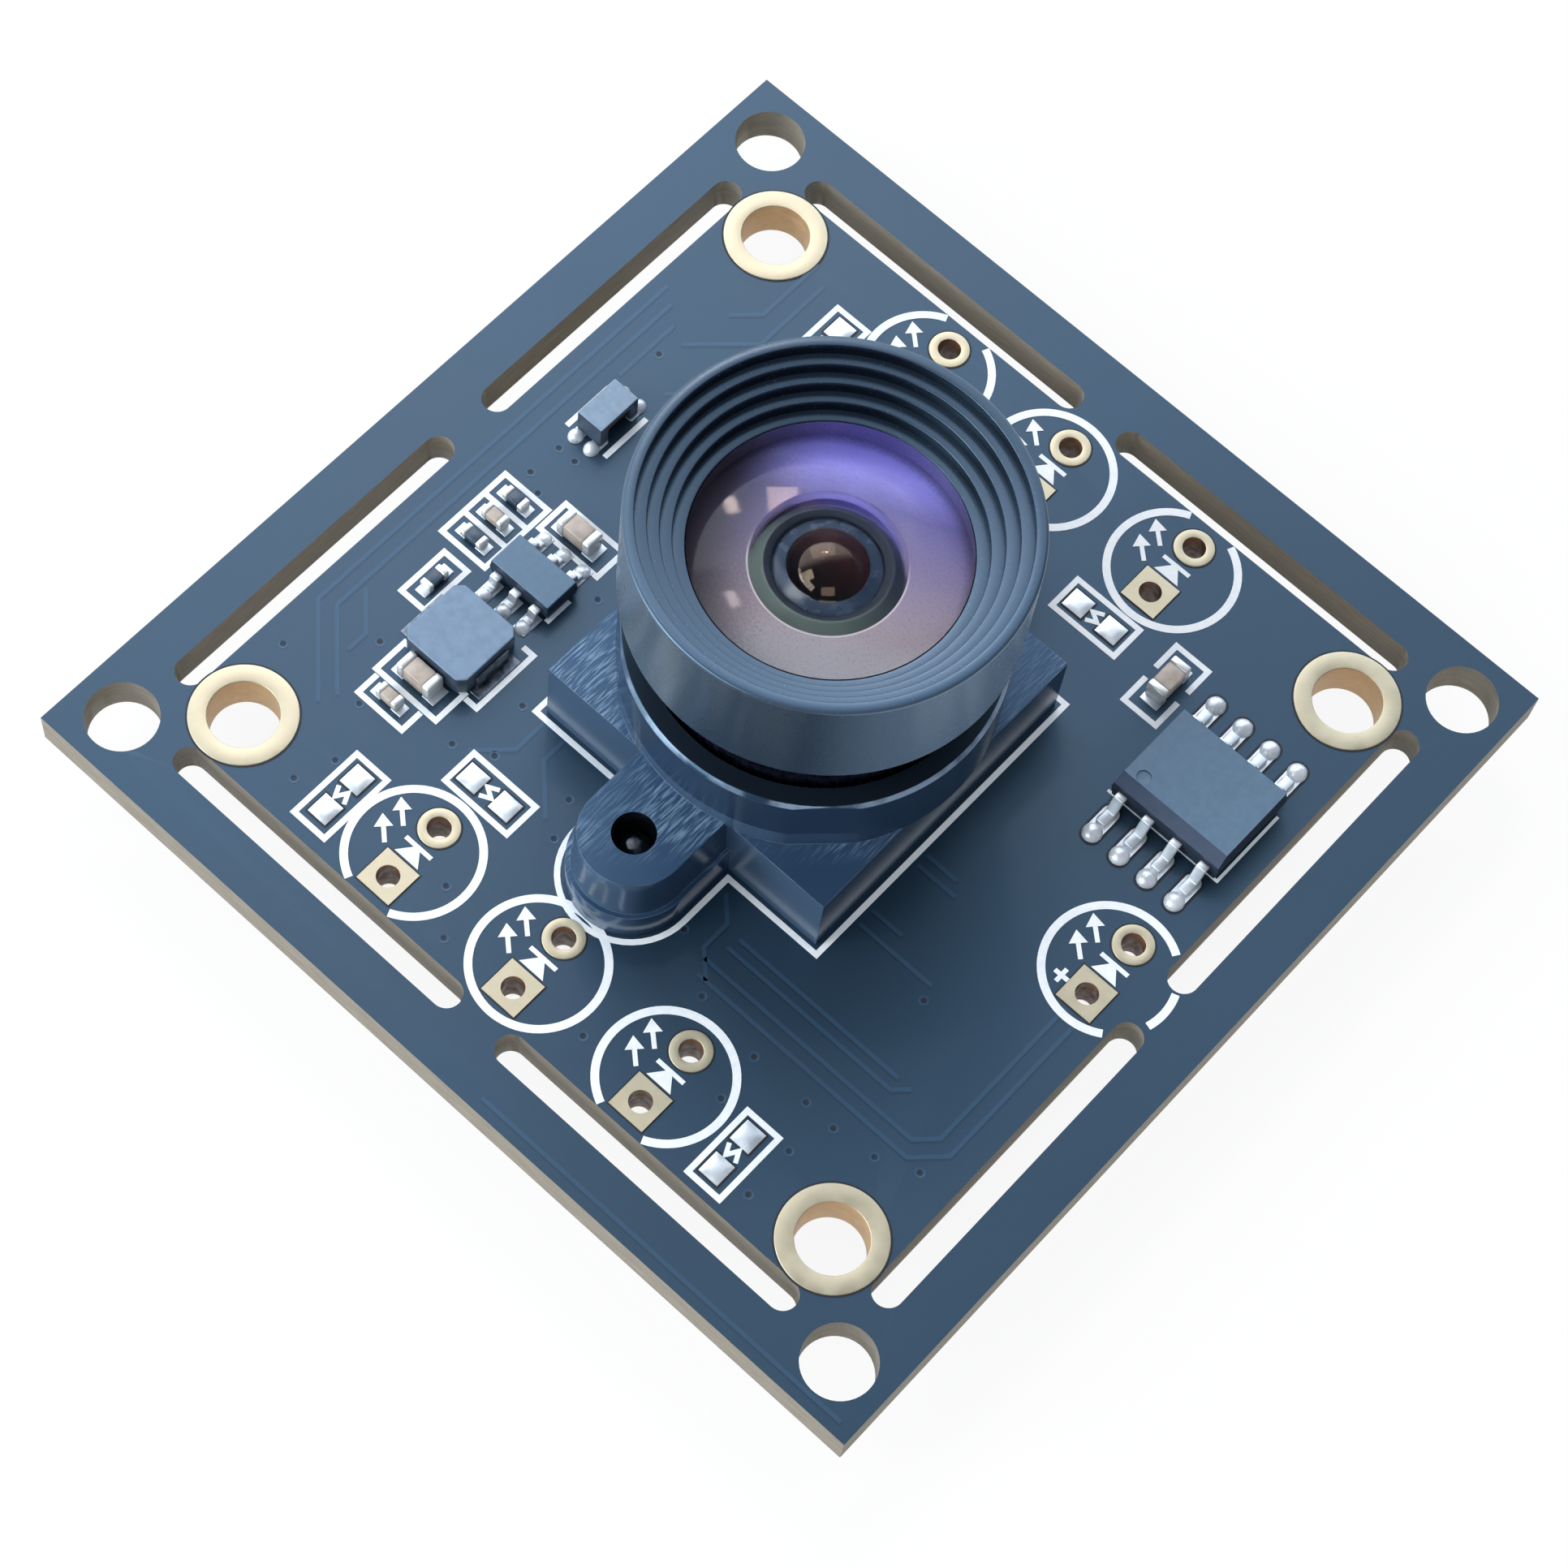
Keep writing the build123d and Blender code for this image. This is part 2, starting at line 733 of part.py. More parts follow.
# Controller chip on the back, with leads on all four sides
with BuildPart() as controller_chip:
    half_height = (controller_height - chip_standoff) / 2
    for rise in (half_height, -half_height):
        with BuildSketch(Plane.XY.offset(-chip_standoff - half_height)):
            Rectangle(controller_side, controller_side)
        extrude(amount=rise, taper=chip_draft)
    with Locations(
        (
            dimple_inset - controller_side / 2,
            dimple_inset - controller_side / 2,
            -controller_height,
        )
    ):
        Cylinder(dimple_radius, dimple_depth, align=on_face, mode=Mode.SUBTRACT)

with BuildPart() as controller_leads:
    half_body = controller_side / 2
    middle = -chip_standoff - (controller_height - chip_standoff) / 2
    for column in controller_columns:
        with BuildSketch(across(column, 0, 0)):
            with BuildLine():
                Polyline(
                    (half_body, middle),
                    (half_body + lead_shoulder, middle),
                    (half_body + lead_shoulder + lead_thickness, -lead_thickness / 2),
                    (controller_span / 2, -lead_thickness / 2),
                )
            trace(line_width=lead_thickness)
        extrude(amount=controller_lead_width / 2, both=True)
    mirror(about=Plane.XZ)
    add(controller_leads.part.rotate(Axis.Z, 90))

# Crystal on the back: a ceramic base and a metal lid
with BuildPart() as crystal_base:
    with Locations((crystal_x, crystal_y, 0)):
        Box(crystal_length, crystal_width, crystal_base_height, align=below_face)

with BuildPart() as crystal_lid:
    with Locations((crystal_x, crystal_y, -crystal_base_height)):
        Box(
            crystal_length - 2 * crystal_lid_inset,
            crystal_width - 2 * crystal_lid_inset,
            crystal_lid_height,
            align=below_face,
        )
    fillet(crystal_lid.edges().filter_by(Axis.Z), crystal_lid_inset)

# Cable connector on the back: a housing open towards the board's edge
connector_mouth = connector_edge_gap - inner_half
connector_x = connector_mouth + connector_depth / 2
with BuildPart() as connector_housing:
    with Locations((connector_x, connector_y, 0)):
        Box(connector_depth, connector_length, connector_height, align=below_face)
    with Locations((connector_mouth, connector_y, -connector_height / 2)):
        Box(
            2 * (connector_depth - connector_back_wall),
            connector_length - 2 * connector_wall,
            connector_height - 2 * connector_wall,
            mode=Mode.SUBTRACT,
        )
    with Locations((connector_mouth, connector_y, -connector_height)):
        with GridLocations(connector_depth, key_pitch, 1, 2):
            Box(connector_depth, key_width, 2 * connector_wall, mode=Mode.SUBTRACT)
    with Locations((connector_x + connector_depth / 2, connector_y, -connector_height / 2)):
        with GridLocations(connector_depth, contact_pitch, 1, contact_count):
            Box(3 * connector_back_wall, contact_width, contact_width, mode=Mode.SUBTRACT)

with BuildPart() as connector_contacts:
    heel = connector_x + connector_depth / 2 + contact_width
    for contact in range(contact_count):
        contact_y = connector_y + (contact - (contact_count - 1) / 2) * contact_pitch
        with BuildSketch(Plane.XZ.offset(-contact_y)):
            with BuildLine():
                Polyline(
                    (heel - contact_width - connector_back_wall - contact_reach, -connector_height / 2),
                    (heel, -connector_height / 2),
                    (heel, -contact_width / 2),
                    (heel + contact_foot, -contact_width / 2),
                )
            trace(line_width=contact_width)
        extrude(amount=contact_width / 2, both=True)

with BuildPart() as connector_tabs:
    for side in (-1, 1):
        wall_y = connector_y + side * connector_length / 2
        with Locations((connector_x, wall_y + side * tab_thickness / 2, 0)):
            Box(tab_length, tab_thickness, tab_height, align=below_face)
        with Locations((connector_x, wall_y + side * tab_foot / 2, 0)):
            Box(tab_length, tab_foot, tab_thickness, align=below_face)

# Capacitors on the back
with BuildPart() as back_capacitors:
    with Locations(*spots(back_places, -end_overlap)):
        Box(
            small_length - 2 * small_end,
            small_width - 2 * end_overlap,
            small_width - 2 * end_overlap,
            align=below_face,
        )

with BuildPart() as back_capacitor_ends:
    with Locations(*spots(back_places, 0)):
        with GridLocations(small_length - small_end, small_width, 2, 1):
            Box(small_end, small_width, small_width, align=below_face)

pieces = {
    "circuit_board": circuit_board,
    "mount_pads": mount_pads,
    "round_lead_pads": round_lead_pads,
    "square_lead_pads": square_lead_pads,
    "bare_pads": bare_pads,
    "lens_holder": lens_holder,
    "holder_screws": holder_screws,
    "lens_barrel": lens_barrel,
    "front_lens": front_lens,
    "baffle_ring": baffle_ring,
    "middle_lens": middle_lens,
    "spacer_ring": spacer_ring,
    "rear_lens": rear_lens,
    "retaining_ring": retaining_ring,
    "infrared_filter": infrared_filter,
    "sensor_package": sensor_package,
    "sensor_die": sensor_die,
    "sensor_glass": sensor_glass,
    "memory_chip": memory_chip,
    "memory_leads": memory_leads,
    "memory_pads": memory_pads,
    "regulator_chip": regulator_chip,
    "regulator_leads": regulator_leads,
    "regulator_pads": regulator_pads,
    "choke_core": choke_core,
    "choke_winding": choke_winding,
    "choke_ends": choke_ends,
    "choke_pads": choke_pads,
    "power_inductor": power_inductor,
    "inductor_ends": inductor_ends,
    "inductor_pads": inductor_pads,
    "large_capacitors": large_capacitors,
    "large_capacitor_ends": large_capacitor_ends,
    "small_capacitors": small_capacitors,
    "small_capacitor_ends": small_capacitor_ends,
    "resistors": resistors,
    "resistor_ends": resistor_ends,
    "chip_pads": chip_pads,
    "controller_chip": controller_chip,
    "controller_leads": controller_leads,
    "crystal_base": crystal_base,
    "crystal_lid": crystal_lid,
    "connector_housing": connector_housing,
    "connector_contacts": connector_contacts,
    "connector_tabs": connector_tabs,
    "back_capacitors": back_capacitors,
    "back_capacitor_ends": back_capacitor_ends,
}
for name, piece in pieces.items():
    piece.part.label = name
    export_step(piece.part, f"parts/{name}.step")
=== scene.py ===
# %% [markdown]
# # A board camera, dressed for its portrait
# The object is a bare circuit board, 38 mm square, that carries a screw-in lens in a black
# moulded holder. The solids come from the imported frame, at their real size. Each cell below
# gives one piece or one finish its looks.

# %% Load the frame
import math

import bmesh
import bpy
from mathutils import Matrix, Quaternion, Vector


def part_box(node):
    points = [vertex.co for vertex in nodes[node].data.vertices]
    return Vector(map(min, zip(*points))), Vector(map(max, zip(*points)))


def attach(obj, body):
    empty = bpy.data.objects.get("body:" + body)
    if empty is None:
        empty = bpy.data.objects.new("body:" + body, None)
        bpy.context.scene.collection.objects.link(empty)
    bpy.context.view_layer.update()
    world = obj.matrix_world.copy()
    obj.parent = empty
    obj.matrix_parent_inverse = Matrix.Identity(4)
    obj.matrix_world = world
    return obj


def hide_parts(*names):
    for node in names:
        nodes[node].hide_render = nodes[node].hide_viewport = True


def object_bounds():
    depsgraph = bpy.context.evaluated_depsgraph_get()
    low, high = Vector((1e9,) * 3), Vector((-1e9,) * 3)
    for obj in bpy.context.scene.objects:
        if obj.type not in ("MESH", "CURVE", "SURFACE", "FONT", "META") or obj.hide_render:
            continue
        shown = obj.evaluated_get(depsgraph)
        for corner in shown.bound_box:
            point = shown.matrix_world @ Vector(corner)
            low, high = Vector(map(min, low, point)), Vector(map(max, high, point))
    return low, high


MM = 0.001
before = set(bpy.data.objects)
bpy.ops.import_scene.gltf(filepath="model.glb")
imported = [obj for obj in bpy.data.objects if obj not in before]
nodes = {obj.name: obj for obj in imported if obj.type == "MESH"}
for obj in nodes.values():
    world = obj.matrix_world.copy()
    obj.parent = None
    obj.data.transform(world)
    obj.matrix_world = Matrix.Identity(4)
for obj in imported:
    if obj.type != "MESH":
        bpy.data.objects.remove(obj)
cad_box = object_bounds()
scene = bpy.context.scene
scene.view_settings.view_transform = "Standard"


def span(node):
    """Lowest and highest corner of a solid, in millimetres."""
    low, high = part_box(node)
    return low / MM, high / MM


board_low, board_high = span("circuit_board")
BOARD_TOP = board_high.z
BOARD_BACK = board_low.z
print("board", [round(side, 2) for side in board_high - board_low], "mm,", len(nodes), "solids")

# %% [markdown]
# The portrait was taken with a long lens from above one corner, and the camera was rolled a
# little. A camera is easiest to trust when it is built from those facts: the point it looks
# at, the distance, two angles and the roll.

# %% Camera
LOOK_AT = Vector((1.532, -2.67, BOARD_TOP))
CAMERA_DISTANCE = 137.5
CAMERA_AZIMUTH = math.radians(33.04)
CAMERA_ELEVATION = math.radians(65.12)
CAMERA_ROLL = math.radians(10.05)
FOCAL_LENGTH = 89.2


def sight(azimuth, elevation):
    """Unit vector from the object towards a viewer; azimuth 0 stands on the -Y side."""
    level = math.cos(elevation)
    return Vector((math.sin(azimuth) * level, -math.cos(azimuth) * level, math.sin(elevation)))


to_camera = sight(CAMERA_AZIMUTH, CAMERA_ELEVATION)
eye = bpy.data.cameras.new("portrait")
eye.lens = FOCAL_LENGTH
eye.sensor_width = 36
eye.sensor_fit = "HORIZONTAL"
eye.clip_start = 0.01
camera = bpy.data.objects.new("portrait", eye)
camera.rotation_mode = "QUATERNION"
camera.rotation_quaternion = (-to_camera).to_track_quat("-Z", "Y") @ Quaternion((0, 0, 1), CAMERA_ROLL)
camera.location = (LOOK_AT + CAMERA_DISTANCE * to_camera) * MM
scene.collection.objects.link(camera)
scene.camera = camera
print("camera at", [round(value, 1) for value in camera.location / MM], "mm")

# %% [markdown]
# A shader is a small graph of nodes. Wiring each one by hand hides the idea, so `Signal`
# wraps a socket and lets sums be written as sums, and `Recipe` holds one material and has a
# single method that adds any node: its type, its settings, then its sockets.


# %% Shader helpers
class Signal:
    """A node's output that can take part in a formula."""

    def __init__(self, recipe, socket):
        self.recipe = recipe
        self.socket = socket

    def math(self, operation, first, second):
        return self.recipe.add("ShaderNodeMath", {"operation": operation}, {0: first, 1: second})

    def __add__(self, other):
        return self.math("ADD", self, other)

    def __sub__(self, other):
        return self.math("SUBTRACT", self, other)

    def __rsub__(self, other):
        return self.math("SUBTRACT", other, self)

    def __mul__(self, other):
        return self.math("MULTIPLY", self, other)

    def __gt__(self, other):
        return self.math("GREATER_THAN", self, other)

    def __lt__(self, other):
        return self.math("LESS_THAN", self, other)

    def __abs__(self):
        return self.math("ABSOLUTE", self, 0)

    def root(self):
        return self.math("SQRT", self, 0)

    __radd__ = __add__
    __rmul__ = __mul__


class Recipe:
    """One node tree, of a material or of the world."""

    def __init__(self, owner, slot=None):
        owner.use_nodes = True
        self.owner = owner
        self.slot = slot
        self.tree = owner.node_tree
        self.tree.nodes.clear()

    def add(self, kind, settings=None, sockets=None, out=0):
        node = self.tree.nodes.new(kind)
        for name, value in (settings or {}).items():
            if name == "stops":
                ramp = node.color_ramp
                while len(ramp.elements) < len(value):
                    ramp.elements.new(0.5)
                for element, (position, colour) in zip(ramp.elements, value):
                    element.position = position
                    element.color = colour
            else:
                setattr(node, name, value)
        for name, value in (sockets or {}).items():
            if isinstance(value, Signal):
                self.tree.links.new(value.socket, node.inputs[name])
            else:
                node.inputs[name].default_value = value
        return Signal(self, node.outputs[out]) if len(node.outputs) else None

    def place(self, stretch=(1, 1, 1)):
        """Object coordinates in millimetres, stretched along an axis where a grain needs it."""
        spot = self.add("ShaderNodeTexCoord", out="Object")
        scale = [value / MM for value in stretch]
        return self.add("ShaderNodeMapping", {}, {"Vector": spot, "Scale": scale})

    def axis(self, vector, letter):
        return self.add("ShaderNodeSeparateXYZ", {}, {"Vector": vector}, letter)

    def normal(self, letter):
        """One part of the direction that the surface faces."""
        return self.axis(self.add("ShaderNodeNewGeometry", out="Normal"), letter)

    def noise(self, scale, detail=3.0, stretch=(1, 1, 1)):
        sockets = {"Vector": self.place(stretch), "Scale": scale, "Detail": detail}
        return self.add("ShaderNodeTexNoise", {}, sockets)

    def soft_step(self, value, low, high):
        """0 below low, 1 above high and smooth between."""
        settings = {"interpolation_type": "SMOOTHSTEP", "clamp": True}
        return self.add("ShaderNodeMapRange", settings, {"Value": value, "From Min": low, "From Max": high})

    def mix(self, share, first, second):
        """Colour that goes from the first to the second as share goes from 0 to 1."""
        return self.add("ShaderNodeMix", {"data_type": "RGBA"}, {0: share, 6: first, 7: second}, 2)

    def bump(self, height, depth, strength=1.0):
        sockets = {"Height": height, "Distance": depth * MM, "Strength": strength}
        return self.add("ShaderNodeBump", {}, sockets)

    def surface(self, sockets):
        """Principled skin, sent to the output."""
        skin = self.add("ShaderNodeBsdfPrincipled", {}, sockets)
        self.add("ShaderNodeOutputMaterial", {}, {"Surface": skin})
        return self


def tone(red, green, blue):
    """Colour as a picture editor gives it, 0 to 255, turned to the linear light that shaders use."""

    def linear(value):
        share = value / 255
        return share / 12.92 if share <= 0.04045 else ((share + 0.055) / 1.055) ** 2.4

    return (linear(red), linear(green), linear(blue), 1.0)


def material(name, slot):
    return Recipe(bpy.data.materials.new(name), slot)


print("shader helpers ready")

# %% [markdown]
# The object stands against pure white with soft light from the far left. The world is white
# to the camera, and it lights the object more gently. Mirrors and glass see a bright wall on
# the window side and a dim room elsewhere, which gives the flat board its change of tone from
# corner to corner.

# %% World
WINDOW_SIDE = Vector((-0.85, 0.53, 0.0))
WINDOW_GLARE = (2.2, 2.55, 2.9, 1)
ROOM_SHADE = (0.07, 0.08, 0.1, 1)
ROOM_LIGHT = 0.55
ROOM_TONE = tone(238, 246, 255)
WINDOW_EDGE = (0.15, 0.58)
RAY_KINDS = ("Is Camera Ray", "Is Glossy Ray", "Is Transmission Ray")

world = Recipe(bpy.data.worlds.new("bright_room"))
scene.world = world.owner
direction = world.add("ShaderNodeTexCoord", out="Generated")
window_settings = {"operation": "DOT_PRODUCT"}
towards_window = world.add("ShaderNodeVectorMath", window_settings, {0: direction, 1: WINDOW_SIDE}, "Value")
mirror_tone = world.mix(world.soft_step(towards_window, *WINDOW_EDGE), ROOM_SHADE, WINDOW_GLARE)
rays = {kind: world.add("ShaderNodeLightPath", out=kind) for kind in RAY_KINDS}
sees_room = world.mix(rays["Is Camera Ray"], mirror_tone, (1, 1, 1, 1))
mirrors = rays["Is Glossy Ray"] + rays["Is Transmission Ray"]
backdrop = world.add("ShaderNodeBackground", {}, {"Color": sees_room, "Strength": 1.0})
fill = world.add("ShaderNodeBackground", {}, {"Color": ROOM_TONE, "Strength": ROOM_LIGHT})
seen = (rays["Is Camera Ray"] + mirrors) > 0.5
shown = world.add("ShaderNodeMixShader", {}, {0: seen, 1: fill, 2: backdrop})
world.add("ShaderNodeOutputWorld", {}, {"Surface": shown})
print("world light", ROOM_LIGHT)

# %% [markdown]
# Eight softboxes shape the forms. Large ones give the cool key from the window side, the fills
# and the glare on the near walls, and four panes nearer the lens axis leave their bright
# shapes in the glass. An area lamp's power falls with the square of its distance, so a helper
# works the power out from the light that should arrive.


# %% Lamps
def softbox(name, towards, distance, width, height, arriving, colour):
    """Area lamp that gives a facing white card this share of full white."""
    lamp = bpy.data.lights.new(name, "AREA")
    lamp.shape = "RECTANGLE"
    lamp.size = width * MM
    lamp.size_y = height * MM
    lamp.energy = arriving * (math.pi * distance * MM) ** 2
    lamp.color = colour
    holder = bpy.data.objects.new(name, lamp)
    away = Vector(towards).normalized()
    holder.location = (LOOK_AT + distance * away) * MM
    holder.rotation_mode = "QUATERNION"
    holder.rotation_quaternion = (-away).to_track_quat("-Z", "Y")
    scene.collection.objects.link(holder)
    return holder


softbox("window_key", (-0.57, 0.43, 0.7), 300, 240, 190, 0.4, (0.9, 0.96, 1.0)).visible_glossy = False
softbox("side_fill", (-0.6, -0.75, 0.3), 300, 160, 160, 0.6, (0.92, 0.97, 1.0))
softbox("near_fill", (0.6, -0.6, 0.6), 320, 160, 160, 0.2, (1.0, 0.97, 0.93)).visible_glossy = False
softbox("front_pane", (-0.33, -0.55, 0.77), 330, 120, 90, 0.2, (0.96, 1.0, 0.98))
softbox("lens_pane", (-0.417, 0.432, 0.8), 330, 22, 26, 0.06, (1.0, 0.7, 0.62))
softbox("low_glare", (-0.26, -0.8, 0.54), 330, 240, 130, 0.6, (0.75, 0.92, 1.0)).visible_diffuse = False
softbox("left_pane", (-0.494, 0.348, 0.795), 330, 9, 15, 0.02, (1.0, 0.8, 0.7))
softbox("low_pane", (-0.352, 0.17, 0.92), 330, 8, 15, 0.02, (1.0, 0.84, 0.84))
print("lamps", [light.name for light in bpy.data.lights])

# %% [markdown]
# The floor lies just under the cable connector. It is mostly white light, so that it reads as
# a bare page, with a share of plain white paint that takes the object's soft shadow.

# %% Floor
FLOOR_HALF = 600.0
FLOOR_GAP = 0.02
SHADOW_SHARE = 0.1

page = material("white_page", None)
paint = page.add("ShaderNodeBsdfDiffuse", {}, {"Color": (0.95, 0.95, 0.95, 1)})
glow = page.add("ShaderNodeEmission", {}, {"Color": (1, 1, 1, 1), "Strength": 1.0})
page_rays = [page.add("ShaderNodeLightPath", out=kind) for kind in RAY_KINDS]
page_seen = (page_rays[0] + page_rays[1] + page_rays[2]) > 0.5
sheet = page.add("ShaderNodeMixShader", {}, {0: page_seen * (1 - SHADOW_SHARE), 1: paint, 2: glow})
page.add("ShaderNodeOutputMaterial", {}, {"Surface": sheet})

ground = bmesh.new()
bmesh.ops.create_grid(ground, x_segments=1, y_segments=1, size=FLOOR_HALF * MM)
bmesh.ops.translate(ground, vec=(0, 0, cad_box[0].z - FLOOR_GAP * MM), verts=ground.verts)
floor_mesh = bpy.data.meshes.new("floor")
ground.to_mesh(floor_mesh)
ground.free()
floor_mesh.materials.append(page.owner)
floor = bpy.data.objects.new("floor", floor_mesh)
scene.collection.objects.link(floor)
print("floor at", round(cad_box[0].z / MM - FLOOR_GAP, 2), "mm")

# %% [markdown]
# The board is glass-fibre laminate under a dark blue-black mask. The mask is satin, with a
# faint orange-peel skin. Routed walls and drilled holes show the bare laminate, brown with
# fine layers. One material does both: the direction that a face looks in chooses.

# %% Solder mask
FLAT = 0.7
MASK_GLOSS = 0.45
LAMINATE_GLOSS = 0.72
MASK_BEND = 1.85
COOL_SHEEN = (0.5, 0.75, 1.0, 1)


def mask_finish(name, dark, light, bare_dark, bare_light):
    mask = material(name, "solder_mask")
    cloud = mask.noise(0.09, 3.0)
    coat = mask.mix(mask.soft_step(cloud, 0.35, 0.65), dark, light)
    layers = mask.noise(2.2, 2.0, (0.4, 0.4, 3.0))
    laminate = mask.mix(layers, bare_dark, bare_light)
    up = mask.normal("Z")
    facing = (up * up) > FLAT * FLAT
    peel = mask.noise(2.6, 2.0)
    return mask.surface(
        {
            "Base Color": mask.mix(facing, laminate, coat),
            "Roughness": LAMINATE_GLOSS + (MASK_GLOSS - LAMINATE_GLOSS) * facing + 0.1 * (cloud - 0.5),
            "IOR": MASK_BEND,
            "Specular Tint": COOL_SHEEN,
            "Normal": mask.bump(peel, 0.006, 0.5),
        }
    )


mask_dark, mask_light = tone(17, 35, 51), tone(21, 41, 60)
trace_dark, trace_light = tone(29, 52, 75), tone(34, 59, 83)
solder_mask = mask_finish("solder_mask", mask_dark, mask_light, tone(112, 97, 75), tone(156, 144, 123))
trace_mask = mask_finish("trace_mask", trace_dark, trace_light, mask_dark, mask_light)
shade_mask = mask_finish("shade_mask", tone(8, 20, 34), tone(12, 26, 42), mask_dark, mask_light)
print("mask finishes:", solder_mask.owner.name, trace_mask.owner.name)

# %% [markdown]
# White ink, plated gold, tin and solder are the other finishes of the bare board. Metals look
# alive when their roughness changes in soft blotches, so one helper makes each finish from
# two colours, two roughnesses and a grain size.


# %% Finishes of ink and metal
METAL = 1.0
PLATED = 0.6
DULL = 0.3


def blotched(name, slot, dark, light, roughness, grain, depth, metal=0.0, wall=None):
    """Finish whose colour, gloss and relief change in soft blotches; wall is a darker tone for upright faces,
    painted shade.
    """
    finish = material(name, slot)
    spread = finish.soft_step(finish.noise(grain, 4.0), 0.3, 0.7)
    skin = finish.mix(spread, tone(*dark), tone(*light))
    # Upright faces take the darker wall tone: painted shade.
    if wall:
        flat = finish.soft_step(abs(finish.normal("Z")), 0.35, 0.9)
        skin = finish.mix(flat, tone(*wall), skin)
    return finish.surface(
        {
            "Base Color": skin,
            "Metallic": metal,
            "Roughness": roughness[0] + (roughness[1] - roughness[0]) * spread,
            "Normal": finish.bump(finish.noise(grain * 3, 3.0), depth, 0.6),
        }
    )


silk_ink = blotched("silk_ink", "solder_mask", (238, 245, 252), (250, 253, 255), (0.5, 0.65), 3.0, 0.004)
opening = blotched("mask_opening", "solder_mask", (14, 22, 32), (24, 34, 46), (0.5, 0.7), 3.0, 0.004)
gold = blotched(
    "gold_plating", "gold_plating", (189, 179, 152), (199, 189, 163), (0.34, 0.44), 1.4, 0.004, PLATED
)
hole_gold = blotched(
    "hole_gold", "gold_plating", (182, 148, 106), (206, 174, 132), (0.4, 0.6), 2.0, 0.01, PLATED
)
hole_brown = blotched("hole_brown", "gold_plating", (92, 60, 38), (134, 92, 60), (0.35, 0.6), 3.0, 0.02)
tin = blotched("tin", "tin", (196, 203, 211), (222, 227, 233), (0.34, 0.46), 1.6, 0.005, PLATED)
dull_tin = blotched("dull_tin", "tin", (84, 92, 104), (140, 148, 158), (0.34, 0.5), 3.0, 0.02, METAL)
solder = blotched("solder", "tin", (212, 218, 225), (234, 239, 244), (0.32, 0.44), 1.3, 0.006, PLATED)
joint_solder = blotched("joint_solder", "tin", (206, 213, 221), (232, 238, 244), (0.24, 0.4), 2.0, 0.02, DULL)
cap_silver = blotched("cap_silver", "tin", (212, 213, 211), (234, 235, 233), (0.32, 0.44), 1.6, 0.005, PLATED)
steel = blotched("screw_steel", "screw_steel", (88, 92, 98), (128, 132, 138), (0.3, 0.45), 6.0, 0.01, METAL)
wire = blotched("copper_wire", "copper_wire", (84, 58, 50), (122, 84, 66), (0.3, 0.45), 4.0, 0.03, METAL)
print("metals:", gold.owner.name, tin.owner.name, steel.owner.name)

# %% [markdown]
# Chip bodies are moulded epoxy with a fine grain, ferrite is a grey ceramic, capacitors are
# brown ceramic, and the connector is ivory nylon. They share the same helper. For chips and
# coils it also takes a darker tone for upright faces: painted shade on the walls, against
# tops painted in the light.

# %% Finishes of chips and ceramics
epoxy = blotched(
    "chip_epoxy", "chip_epoxy", (84, 110, 133), (91, 118, 142), (0.44, 0.54), 3.0, 0.006, wall=(36, 50, 68)
)
# The memory chip's slant gets this darker tone: painted shade.
epoxy_slant_shade = blotched("epoxy_slant_shade", "chip_epoxy", (28, 46, 76), (36, 55, 86), (0.5, 0.6), 3.0, 0.006)
ferrite = blotched(
    "ferrite", "ferrite", (120, 142, 163), (138, 160, 184), (0.42, 0.6), 3.0, 0.01, wall=(58, 74, 92)
)
pressed_iron = blotched(
    "pressed_iron", "ferrite", (106, 130, 156), (120, 144, 170), (0.4, 0.5), 2.4, 0.006, wall=(46, 60, 78)
)
ceramic = blotched(
    "capacitor_ceramic", "capacitor_ceramic", (168, 154, 144), (190, 178, 168), (0.32, 0.45), 3.0, 0.006
)
resistor_black = blotched(
    "resistor_black", "resistor_black", (46, 62, 80), (64, 82, 100), (0.3, 0.42), 4.0, 0.01
)
ivory = blotched(
    "connector_ivory", "connector_ivory", (222, 214, 190), (236, 230, 210), (0.4, 0.55), 1.2, 0.01
)
package = blotched(
    "sensor_ceramic", "sensor_ceramic", (120, 116, 110), (146, 142, 134), (0.5, 0.6), 3.0, 0.01
)
silicon = blotched("silicon", "silicon", (52, 58, 84), (78, 70, 96), (0.12, 0.2), 1.0, 0.002, PLATED)
print("ceramics:", ceramic.owner.name, ferrite.owner.name)

# %% [markdown]
# The holder is glossy black plastic. Its flat tops kept the marks of the mould, fine lines
# along Y, while the walls are polished. The barrel is black metal with a satin coat, soft
# streaks and dust. Both change from place to place, so each has a function of its own, which
# finds walls, treads and flanks by their direction and their place. Some of these colours are
# painted light and shade: the holder's walls facing -Y are painted lighter, its upward bevels
# carry painted highlights and its ear bores painted shade, and the barrel has a painted sheen
# on its flanks, a painted reflection lighter on the near side of its rim and treads, and
# painted shade on its risers.


# %% Black plastic and black metal
HOLDER_STEP = 4.2
EAR_REACH = 9.0
EAR_BORE = 0.79
STEPS_EDGE = 6.58


